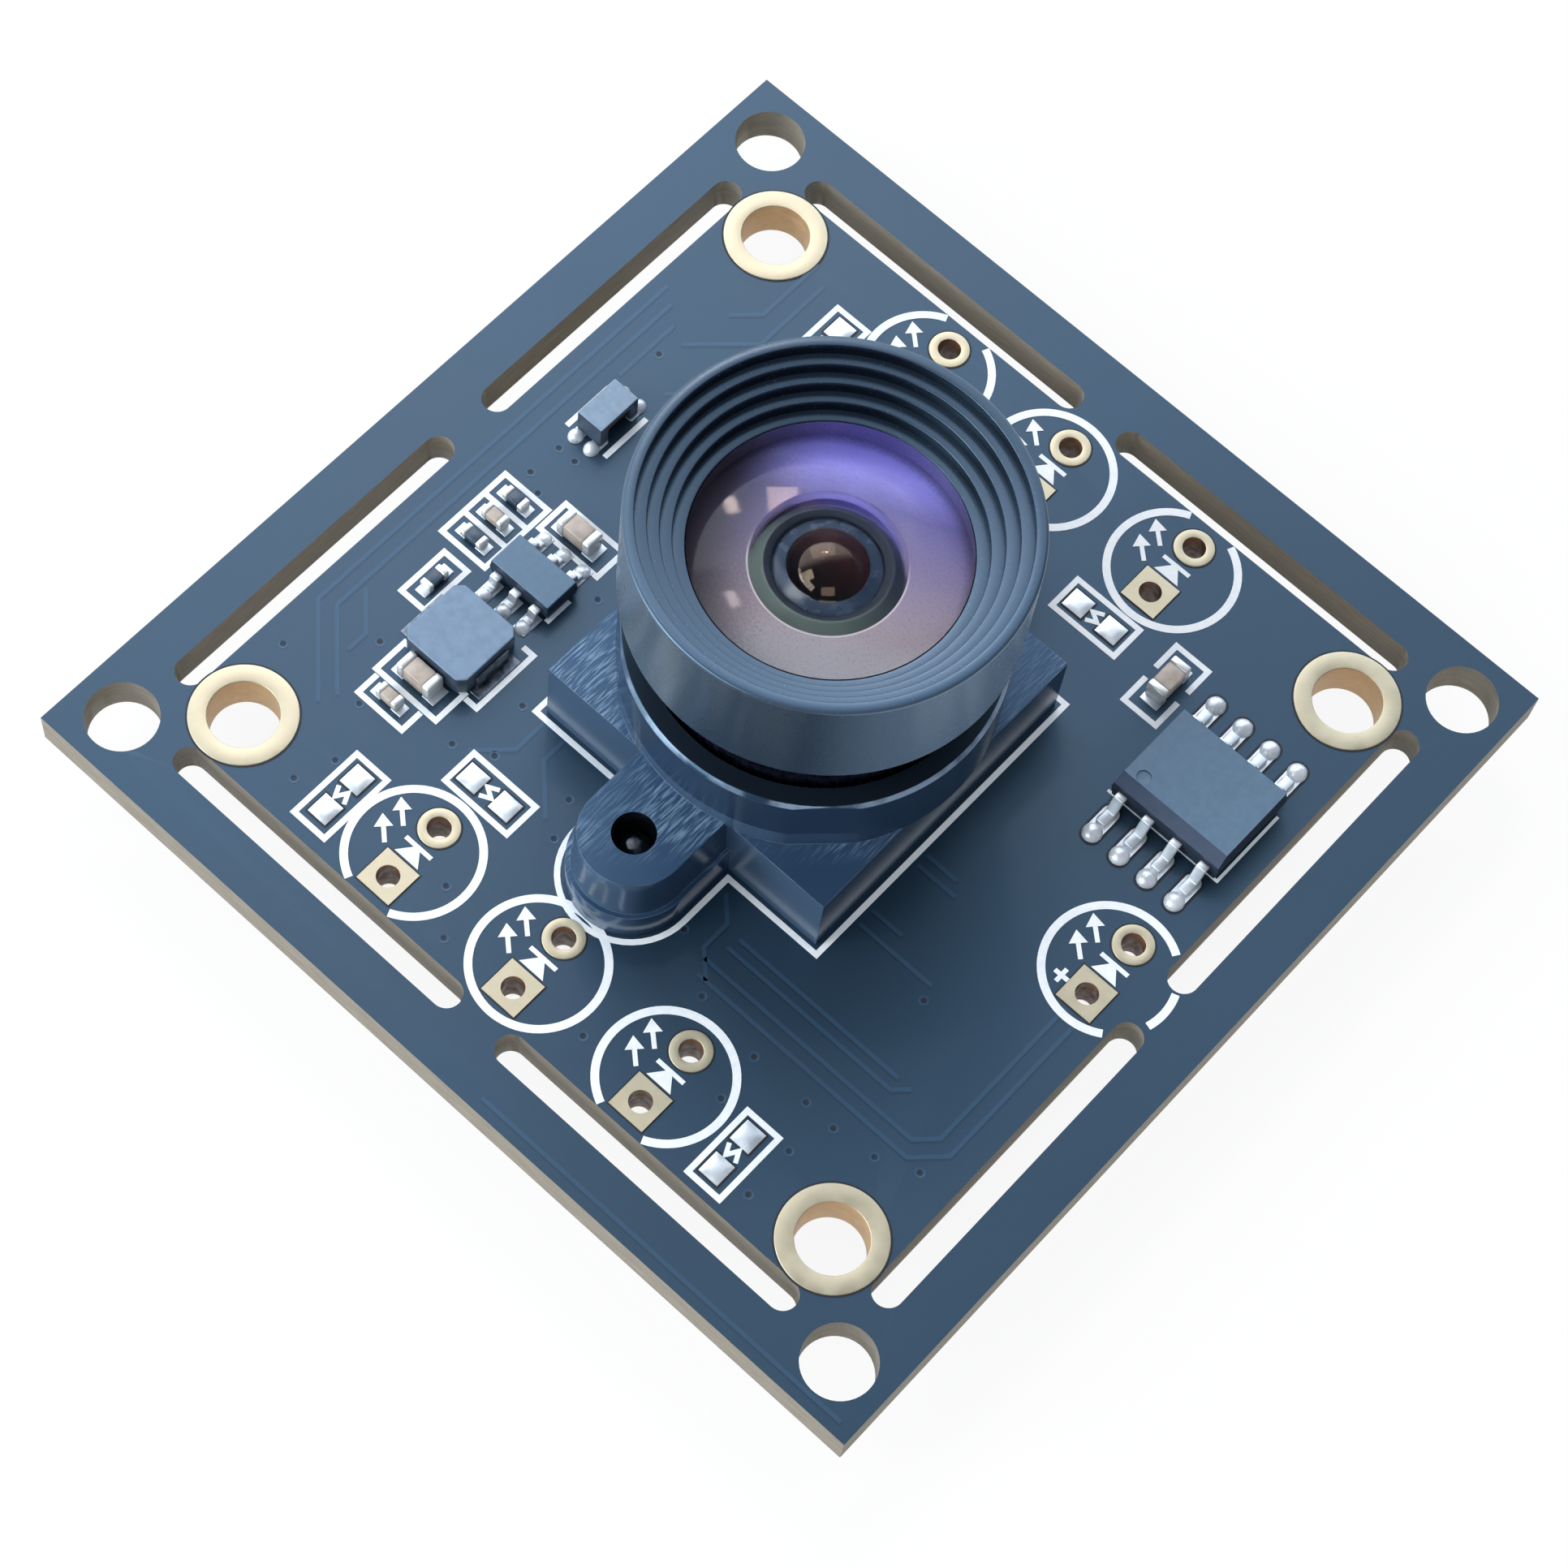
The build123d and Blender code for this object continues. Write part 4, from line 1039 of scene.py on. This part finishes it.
via = bmesh.new()
bmesh.ops.create_circle(via, cap_ends=True, segments=20, radius=VIA_RADIUS)
crown = bmesh.ops.extrude_face_region(via, geom=via.faces[:])["geom"]
crown_verts = [item for item in crown if isinstance(item, bmesh.types.BMVert)]
bmesh.ops.translate(via, vec=(0, 0, INK_SINK + TRACE_HEIGHT), verts=crown_verts)
top = max(via.faces, key=lambda face: face.calc_center_median().z)
bmesh.ops.inset_region(via, faces=[top], thickness=VIA_RIM, depth=0)
bmesh.ops.inset_region(via, faces=[top], thickness=VIA_SLOPE, depth=-VIA_DIMPLE)
top.material_index = 1
via_places = [(x, y, BOARD_TOP - INK_SINK, 0) for x, y in VIAS]
piece("vias", stamp(bmesh.new(), via, via_places), [trace_mask, opening])

# %% [markdown]
# The holder keeps its solid form. Small rounds on the edges give the highlights that a
# moulded part has.

# %% Lens holder
HOLDER_ROUND = 0.07
SCREW_ROUND = 0.05
soften("lens_holder", holder_plastic, HOLDER_ROUND, 2, "holder")
soften("holder_screws", steel, SCREW_ROUND, 2, "screws")

# %% [markdown]
# The barrel is turned metal, so it is a lathe profile: neck, head, flat rim and four steps
# down to the glass. Rounding the profile's corners before it is spun rounds every edge at once.

# %% Lens barrel
barrel_low, barrel_high = span("lens_barrel")
HEAD_RADIUS = barrel_high.x
LENS_TOP = barrel_high.z
NECK_RADIUS = 5.74
THREAD_RADIUS = 6.0
THREAD_PITCH = 0.5
HEAD_BOTTOM = BOARD_TOP + 9.35
RIM_WIDTH = 0.43
STEP_WIDTH = 0.435
STEP_DROP = 0.49
STEP_COUNT = 4
CELL_RADIUS = 3.4
EDGE_ROUND = 0.05
RIM_CHAMFER = 0.12

glass_low, glass_high = span("front_lens")
GLASS_SEAT = glass_low.z
profile = [(CELL_RADIUS, barrel_low.z), (NECK_RADIUS, barrel_low.z), (NECK_RADIUS, HEAD_BOTTOM)]
profile += [(HEAD_RADIUS, HEAD_BOTTOM), (HEAD_RADIUS, LENS_TOP)]
step_radius = HEAD_RADIUS - RIM_WIDTH
for step in range(STEP_COUNT):
    profile.append((step_radius - step * STEP_WIDTH, LENS_TOP - step * STEP_DROP))
    profile.append((step_radius - step * STEP_WIDTH, LENS_TOP - (step + 1) * STEP_DROP))
GLASS_RADIUS = step_radius - STEP_COUNT * STEP_WIDTH
profile += [(GLASS_RADIUS, LENS_TOP - STEP_COUNT * STEP_DROP), (GLASS_RADIUS, GLASS_SEAT)]
profile.append((CELL_RADIUS, GLASS_SEAT))
nosings = [5 + 2 * step for step in range(STEP_COUNT)] + [5 + 2 * STEP_COUNT]
barrel = lathe(profile, {RIM_CHAMFER: (3, 4), EDGE_ROUND: nosings}, 160)
print("barrel profile of", len(profile), "points, glass radius", round(GLASS_RADIUS, 3), "mm")

# %% [markdown]
# The neck carries a fine thread, which lies deep in the dark gap under the head. Spin copies the
# section of one tooth round the axis, and each copy stands a little higher than the last. The
# copies are thin and stay apart, so seen from the side they are rows of small teeth.

# %% Thread on the neck
THREAD_TURNS = 7
TURN_STEPS = 96
THREAD_RUNOUT = 0.3
TOOTH_ROOT = NECK_RADIUS - 0.02
TOOTH_CREST = (0.2, 0.28)
TOOTH_END = 0.48

thread_start = HEAD_BOTTOM - THREAD_RUNOUT - THREAD_TURNS * THREAD_PITCH
tooth = [(TOOTH_ROOT, 0)] + [(THREAD_RADIUS, height) for height in TOOTH_CREST] + [(TOOTH_ROOT, TOOTH_END)]
thread = bmesh.new()
corners = [thread.verts.new((radius, 0, thread_start + height)) for radius, height in tooth]
flank = thread.faces.new(corners)
bmesh.ops.spin(
    thread,
    geom=[flank],
    cent=(0, 0, 0),
    axis=(0, 0, 1),
    dvec=(0, 0, THREAD_PITCH / TURN_STEPS),
    angle=2 * math.pi * THREAD_TURNS,
    steps=TURN_STEPS * THREAD_TURNS,
    use_merge=False,
    use_duplicate=True,
)
bmesh.ops.remove_doubles(thread, verts=thread.verts, dist=0.0005)
bmesh.ops.recalc_face_normals(thread, faces=thread.faces)
stamp(barrel, thread, [(0, 0, 0, 0)])
for face in barrel.faces:
    middle = face.calc_center_median()
    off_axis = math.hypot(middle.x, middle.y)
    face.material_index = int(middle.z < HEAD_BOTTOM - EDGE_ROUND and off_axis > CELL_RADIUS + EDGE_ROUND)
piece("barrel", barrel, [barrel_black, thread_black], ["lens_barrel"])

# %% [markdown]
# The front glass has a clear crown. Its flat back rests on the seat and is inked, and the
# coating's reflection there, violet on one side and rose-brown on the other, is painted into
# the ink's colour, with painted shade on the left and at the edge and a painted highlight
# along the bowl. So the lens takes two finishes: clear glass, and coated ink whose bump
# follows a crown, so that lamps leave small bright shapes in it. The dome behind it and the
# collar round that dome have finishes too, with painted reflection, light and shade of their
# own.


# %% Glass finishes
FRONT_BEND = 1.2
CROWN_BEND = 24.0
BOWL_HIGHLIGHT = (2.65, 2.7)
LIP_EDGE = 2.2


def clear_glass(name, slot, tint, specular, bend=1.5):
    glass = material(name, slot)
    smear = glass.noise(0.35, 2.0)
    return glass.surface(
        {
            "Base Color": tint,
            "Roughness": 0.07 + 0.02 * smear,
            "IOR": bend,
            "Transmission Weight": 1.0,
            "Specular Tint": specular,
        }
    )


def coated_back():
    ink_coat = material("coated_back", "coated_glass")
    spot = ink_coat.place()
    across, along = ink_coat.axis(spot, "X"), ink_coat.axis(spot, "Y")
    # The violet to rose-brown ramp along this slope is the coating's reflection, painted into the ink's
    # colour.
    slope = -0.5 * across + 0.87 * along + 0.8 * (ink_coat.noise(0.5, 2.0) - 0.5)
    stops = [
        (0.1, tone(152, 150, 156)),
        (0.3, tone(138, 127, 134)),
        (0.55, tone(114, 104, 134)),
        (0.73, tone(94, 89, 138)),
        (0.87, tone(136, 131, 211)),
        (1.0, tone(104, 97, 200)),
    ]
    glow = ink_coat.add("ShaderNodeValToRGB", {"stops": stops}, {0: 0.5 + 0.1 * slope})
    square = across * across + along * along
    reach = square.root()
    # side_light paints shade on the left side, and shade darkens the outer edge: painted shade.
    side_light = 0.1 + 0.9 * ink_coat.soft_step(0.9 * across + 0.45 * along, -4.4, -0.9)
    shade = side_light * (1 - 0.65 * ink_coat.soft_step(reach, 4.3, 4.85))
    speckle = ink_coat.noise(11.0, 2.0)
    coat = ink_coat.mix(shade * (0.6 + 0.8 * speckle), tone(50, 46, 58), glow)
    # A thin pale line along the bowl's edge on the lower side is a painted highlight.
    bowl_highlight = (1 - ink_coat.soft_step(reach, *BOWL_HIGHLIGHT)) * ink_coat.soft_step(slope, 0.9, -0.7)
    lit = ink_coat.mix(0.5 * bowl_highlight, coat, tone(214, 204, 206))
    return ink_coat.surface(
        {
            "Base Color": lit,
            "Roughness": 0.03,
            "IOR": 1.21,
            "Normal": ink_coat.bump(square * (-0.5 / CROWN_BEND), 1.0),
        }
    )


def dark_dome():
    dome_coat = material("dark_dome", "coated_glass")
    spot = dome_coat.place()
    # The dome is near black, painted shade for the dark inside behind real glass, and its +Y side is painted
    # reddish: a painted reflection.
    depth = dome_coat.soft_step(dome_coat.axis(spot, "Y"), -1.3, 0.9)
    return dome_coat.surface(
        {
            "Base Color": dome_coat.mix(depth, tone(8, 9, 14), tone(36, 20, 22)),
            "Roughness": 0.04,
            "IOR": 1.5,
            "Specular Tint": tone(255, 220, 190),
        }
    )


def collar_satin():
    satin = material("collar_satin", "barrel_black")
    spot = satin.place()
    across, along = satin.axis(spot, "X"), satin.axis(spot, "Y")
    # The lip is painted lighter towards -Y and darker towards +Y: painted light and shade.
    slope = satin.mix(satin.soft_step(along, -2.2, 1.4), tone(84, 95, 93), tone(38, 46, 60))
    outer = (across * across + along * along) > LIP_EDGE * LIP_EDGE
    skin = satin.mix(outer, tone(24, 31, 42), slope)
    return satin.surface({"Base Color": skin, "Roughness": 0.5, "IOR": 1.25})


front_glass = clear_glass("coated_glass", "coated_glass", (1, 1, 1, 1), (0, 0, 0, 1), FRONT_BEND)
coated_ink = coated_back()
print("glass:", front_glass.owner.name, coated_ink.owner.name)

# %% [markdown]
# The front lens is a meniscus: a crown in front and a bowl behind. Both are caps of a sphere,
# so a helper gives the points of a cap, and the lathe turns the whole outline.

# %% Front lens
BOWL_RADIUS = 2.62
BOWL_DEPTH = 1.4
CROWN_RISE = 0.75
GLASS_LIFT = 0.03
EDGE_BAND = 0.02
SEAT_BAND = 0.001
crown_edge = glass_high.x
crown_base = glass_high.z - CROWN_RISE


def cap(half_width, rise, base, steps=20):
    """Profile of a spherical cap, from its edge up to the axis."""
    radius = (half_width**2 + rise**2) / (2 * rise)
    swing = math.asin(half_width / radius)
    turns = [swing * (1 - step / steps) for step in range(steps + 1)]
    return [(radius * math.sin(turn), base + rise - radius * (1 - math.cos(turn))) for turn in turns]


back_plane = GLASS_SEAT + GLASS_LIFT
crown = cap(crown_edge, CROWN_RISE, crown_base)
bowl = cap(BOWL_RADIUS, BOWL_DEPTH - GLASS_LIFT, back_plane)
front = lathe(crown + bowl[::-1] + [(crown_edge, back_plane)])
for face in front.faces:
    middle = face.calc_center_median()
    on_seat = abs(middle.z - back_plane) < SEAT_BAND
    on_rim = math.hypot(middle.x, middle.y) > crown_edge - EDGE_BAND and middle.z < crown_base
    face.material_index = int(on_seat or on_rim)
clear = piece("front_glass", front, [front_glass, coated_ink], ["front_lens"])
clear.visible_shadow = False

# %% [markdown]
# Behind it a black funnel ring holds the small ball-like lens that shows in the middle. Both
# are turned. The lens has a near black polished dome, painted shade for the dark inside behind
# its glass, on a duller shoulder, so its faces are sorted by their distance from the axis.

# %% Inner lens parts
baffle_low, baffle_high = span("baffle_ring")
middle_low, middle_high = span("middle_lens")
ELEMENT_RADIUS = baffle_high.x
LIP_WIDTH = 0.37
LIP_FALL = 0.12
DOME_RADIUS = 1.48
DOME_RISE = 0.62
SHOULDER_RADIUS = 1.95
SHOULDER_FALL = 0.13
DOME_GAP = 0.02
FUNNEL_ROUND = 0.06
BORE_ROUND = 0.04

lip_radius = BOWL_RADIUS - LIP_WIDTH
bore_radius = SHOULDER_RADIUS + DOME_GAP
dome_base = middle_high.z - DOME_RISE
collar = [(ELEMENT_RADIUS, GLASS_SEAT), (BOWL_RADIUS, GLASS_SEAT), (lip_radius, baffle_high.z)]
collar += [(bore_radius, baffle_high.z - LIP_FALL), (bore_radius, baffle_low.z)]
collar.append((ELEMENT_RADIUS, baffle_low.z))
collar_ring = lathe(collar, {FUNNEL_ROUND: (1, 2), BORE_ROUND: (3,)}, 96)
piece("collar_ring", collar_ring, [collar_satin()], ["baffle_ring"])
dome = cap(DOME_RADIUS, DOME_RISE, dome_base)
shoulder = [(SHOULDER_RADIUS, dome_base - SHOULDER_FALL), (SHOULDER_RADIUS, baffle_low.z)]
stem = [(ELEMENT_RADIUS, baffle_low.z), (ELEMENT_RADIUS, middle_low.z), (0, middle_low.z)]
ball = lathe(dome[::-1] + shoulder + stem, None, 96)
for face in ball.faces:
    middle = face.calc_center_median()
    face.material_index = int(math.hypot(middle.x, middle.y) > DOME_RADIUS or middle.z < dome_base)
shoulder_slate = blotched(
    "shoulder_slate", "coated_glass", (36, 47, 64), (48, 61, 80), (0.2, 0.3), 2.0, 0.004
)
piece("ball_lens", ball, [dark_dome(), shoulder_slate], ["middle_lens"]).visible_shadow = False

# %% [markdown]
# What the housing hides keeps its solid and only gets its finish: the rear lens and rings, the
# filter and the image sensor.


# %% Hidden solids
def dress(finish, *names):
    for name in names:
        skin = nodes[name].data.materials
        skin.clear()
        skin.append(finish.owner)
    print("dressed", *names)


filter_glass = clear_glass("filter_glass", "filter_glass", tone(206, 240, 236), (1, 1, 1, 1))
dress(barrel_black, "spacer_ring", "retaining_ring")
amber_glass = clear_glass("amber_glass", "coated_glass", tone(196, 110, 84), tone(255, 190, 150))
dress(amber_glass, "rear_lens")
dress(front_glass, "sensor_glass")
dress(filter_glass, "infrared_filter")
dress(package, "sensor_package")
dress(silicon, "sensor_die")

# %% [markdown]
# Chips, passives and connector keep their solids with rounded edges. A table of nodes with
# finish and round is all they need.

# %% Chips and passives
for node, finish, width in (
    ("memory_leads", tin, 0.04),
    ("regulator_chip", epoxy, 0.05),
    ("regulator_leads", tin, 0.04),
    ("regulator_pads", solder, 0.02),
    ("choke_core", ferrite, 0.05),
    ("choke_winding", wire, 0.03),
    ("choke_ends", cap_silver, 0.02),
    ("choke_pads", solder, 0.02),
    ("power_inductor", pressed_iron, 0.08),
    ("inductor_ends", dull_tin, 0.03),
    ("inductor_pads", dull_tin, 0.02),
    ("large_capacitors", ceramic, 0.06),
    ("large_capacitor_ends", cap_silver, 0.07),
    ("small_capacitors", ceramic, 0.05),
    ("small_capacitor_ends", cap_silver, 0.05),
    ("resistors", resistor_black, 0.03),
    ("resistor_ends", cap_silver, 0.05),
    ("chip_pads", solder, 0.02),
    ("controller_chip", epoxy, 0.05),
    ("controller_leads", tin, 0.03),
    ("crystal_base", package, 0.04),
    ("crystal_lid", tin, 0.06),
    ("connector_housing", ivory, 0.06),
    ("connector_contacts", tin, 0.03),
    ("connector_tabs", tin, 0.03),
    ("back_capacitors", ceramic, 0.05),
    ("back_capacitor_ends", cap_silver, 0.05),
):
    soften(node, finish, width)

# %% [markdown]
# The memory chip has the slanted long edge that marks the side of its first lead. That edge is
# found by its place, and a bevel of one segment makes the slant and paints it darker, painted
# shade on the side turned from the light.
# The pads under the leads have round ends, which are wide bevels on their upright edges.

# %% Memory chip
SLANT = 0.38
SLANT_SHADE_SLOT = 1
LONG_EDGE = 3.0
TOP_BAND = 0.01
NEAR_BAND = 1.0
CHIP_ROUND = 0.04
PAD_END = 0.3

chip = copy_of("memory_chip")
chip_low, chip_high = span("memory_chip")
ridge = [
    edge
    for edge in chip.edges
    if abs(edge.verts[0].co.x - edge.verts[1].co.x) > LONG_EDGE
    and all(vert.co.z > chip_high.z - TOP_BAND and vert.co.y < chip_low.y + NEAR_BAND for vert in edge.verts)
]
trim(chip, ridge, SLANT, 1, SLANT_SHADE_SLOT)
trim(chip, sharp_edges(chip), CHIP_ROUND)
piece("memory_body", chip, [epoxy, epoxy_slant_shade], ["memory_chip"], outward=False)
round_pads = copy_of("memory_pads")
trim(round_pads, upright_edges(round_pads), PAD_END, 5)
piece("memory_round_pads", round_pads, [solder], ["memory_pads"], outward=False)

# %% [markdown]
# Empty resistor places carry pillows of tin that the hot-air process left on them. A cube cut
# into a grid and flattened is a plate, and its top then swells towards the middle, where each
# point rises by its distance from the edges.

# %% Tinned pillows
PILLOW_RISE = 0.11
BARE_LENGTH = 0.9
BARE_WIDTH = 0.85
BARE_PITCH = 1.57

pillow = bmesh.new()
bmesh.ops.create_cube(pillow, size=1)
bmesh.ops.subdivide_edges(pillow, edges=pillow.edges[:], cuts=6, use_grid_fill=True)
bmesh.ops.scale(pillow, vec=(BARE_LENGTH, BARE_WIDTH, COPPER), verts=pillow.verts)
bmesh.ops.translate(pillow, vec=(0, 0, COPPER / 2), verts=pillow.verts)
for vert in pillow.verts:
    if vert.co.z > COPPER / 2:
        swell = (1 - (2 * vert.co.x / BARE_LENGTH) ** 2) * (1 - (2 * vert.co.y / BARE_WIDTH) ** 2)
        vert.co.z += (PILLOW_RISE - COPPER) * max(swell, 0) ** 0.5
pillow_places = []
for x, y, turn in BARE_PLACES:
    reach = Vector((BARE_PITCH / 2, 0, 0))
    reach.rotate(Quaternion((0, 0, 1), math.radians(turn)))
    pillow_places += [(x + sign * reach.x, y + sign * reach.y, BOARD_TOP, turn) for sign in (-1, 1)]
piece("tinned_pillows", stamp(bmesh.new(), pillow, pillow_places), [solder], ["bare_pads"])

# %% [markdown]
# Round the tinned pads the mask also stops short. Thin dark plates, a little larger than the
# pads and lying under them, show as that gap. Those of the memory chip have round ends.

# %% Dark beds round the tinned pads
BED_MARGIN = 0.08
BARE_CORNER = 0.05
LEAD_BED = (0.7, 1.74)
LEAD_CORNER = 0.38
LEAD_STEP = 1.27
LEAD_ROW = 3.0
HALF_PAD = 0.33


def bed(length, width, corner):
    """Thin plate for one pad, with rounded corners."""
    plate = bmesh.new()
    bmesh.ops.create_cube(plate, size=1)
    grown = (length + 2 * BED_MARGIN, width + 2 * BED_MARGIN, 2 * GAP_HEIGHT)
    bmesh.ops.scale(plate, vec=grown, verts=plate.verts)
    trim(plate, upright_edges(plate), corner, 5)
    return plate


memory_low, memory_high = span("memory_pads")
memory_y = (memory_low.y + memory_high.y) / 2
lead_columns = [memory_low.x + HALF_PAD + LEAD_STEP * column for column in range(4)]
lead_places = [(x, memory_y + side * LEAD_ROW, BOARD_TOP, 0) for x in lead_columns for side in (-1, 1)]
beds = stamp(bmesh.new(), bed(BARE_LENGTH, BARE_WIDTH, BARE_CORNER), pillow_places)
stamp(beds, bed(*LEAD_BED, LEAD_CORNER), lead_places)
piece("pad_beds", beds, [opening])

# %% [markdown]
# Wet solder climbs the leads as low domes. Each is a sphere, stretched to its length, width and
# height, and one cut along the board's front takes off all the lower halves.

# %% Solder joints
TOE_ROW = 3.46
TOE_DOME = (0.76, 0.8, 0.3)
HEEL_ROW = 2.8
HEEL_DOME = (0.6, 0.8, 0.16)
CHOKE_JOINTS = [(-13.4, 2.4), (-12.62, 2.4), (-12.62, 4.9), (-13.4, 4.9)]
CHOKE_DOME = (0.6, 0.66, 0.3)
REGULATOR_STEP = 0.95
REGULATOR_HALF_LEAD = 0.19
REGULATOR_REACH = 0.15
REGULATOR_DOME = (0.62, 0.66, 0.22)


def blob(shape, x, y, length, width, height):
    """Dome of solder on the board's front."""
    ball = bmesh.ops.create_uvsphere(shape, u_segments=16, v_segments=12, radius=0.5)["verts"]
    bmesh.ops.scale(shape, vec=(length, width, 2 * height), verts=ball)
    bmesh.ops.translate(shape, vec=(x, y, BOARD_TOP), verts=ball)


joints = bmesh.new()
for x in lead_columns:
    for side in (-1, 1):
        blob(joints, x, memory_y + side * TOE_ROW, *TOE_DOME)
        blob(joints, x, memory_y + side * HEEL_ROW, *HEEL_DOME)
for x, y in CHOKE_JOINTS:
    blob(joints, x, y, *CHOKE_DOME)
regulator_low, regulator_high = span("regulator_leads")
for column in range(3):
    x = regulator_low.x + REGULATOR_HALF_LEAD + REGULATOR_STEP * column
    for y in (regulator_low.y - REGULATOR_REACH, regulator_high.y + REGULATOR_REACH):
        blob(joints, x, y, *REGULATOR_DOME)
whole = joints.verts[:] + joints.edges[:] + joints.faces[:]
bmesh.ops.bisect_plane(joints, geom=whole, plane_co=(0, 0, BOARD_TOP), plane_no=(0, 0, -1), clear_outer=True)
piece("solder_joints", joints, [joint_solder])

# %% [markdown]
# Last, the view layer is brought up to date.

# %% Final update
bpy.context.view_layer.update()
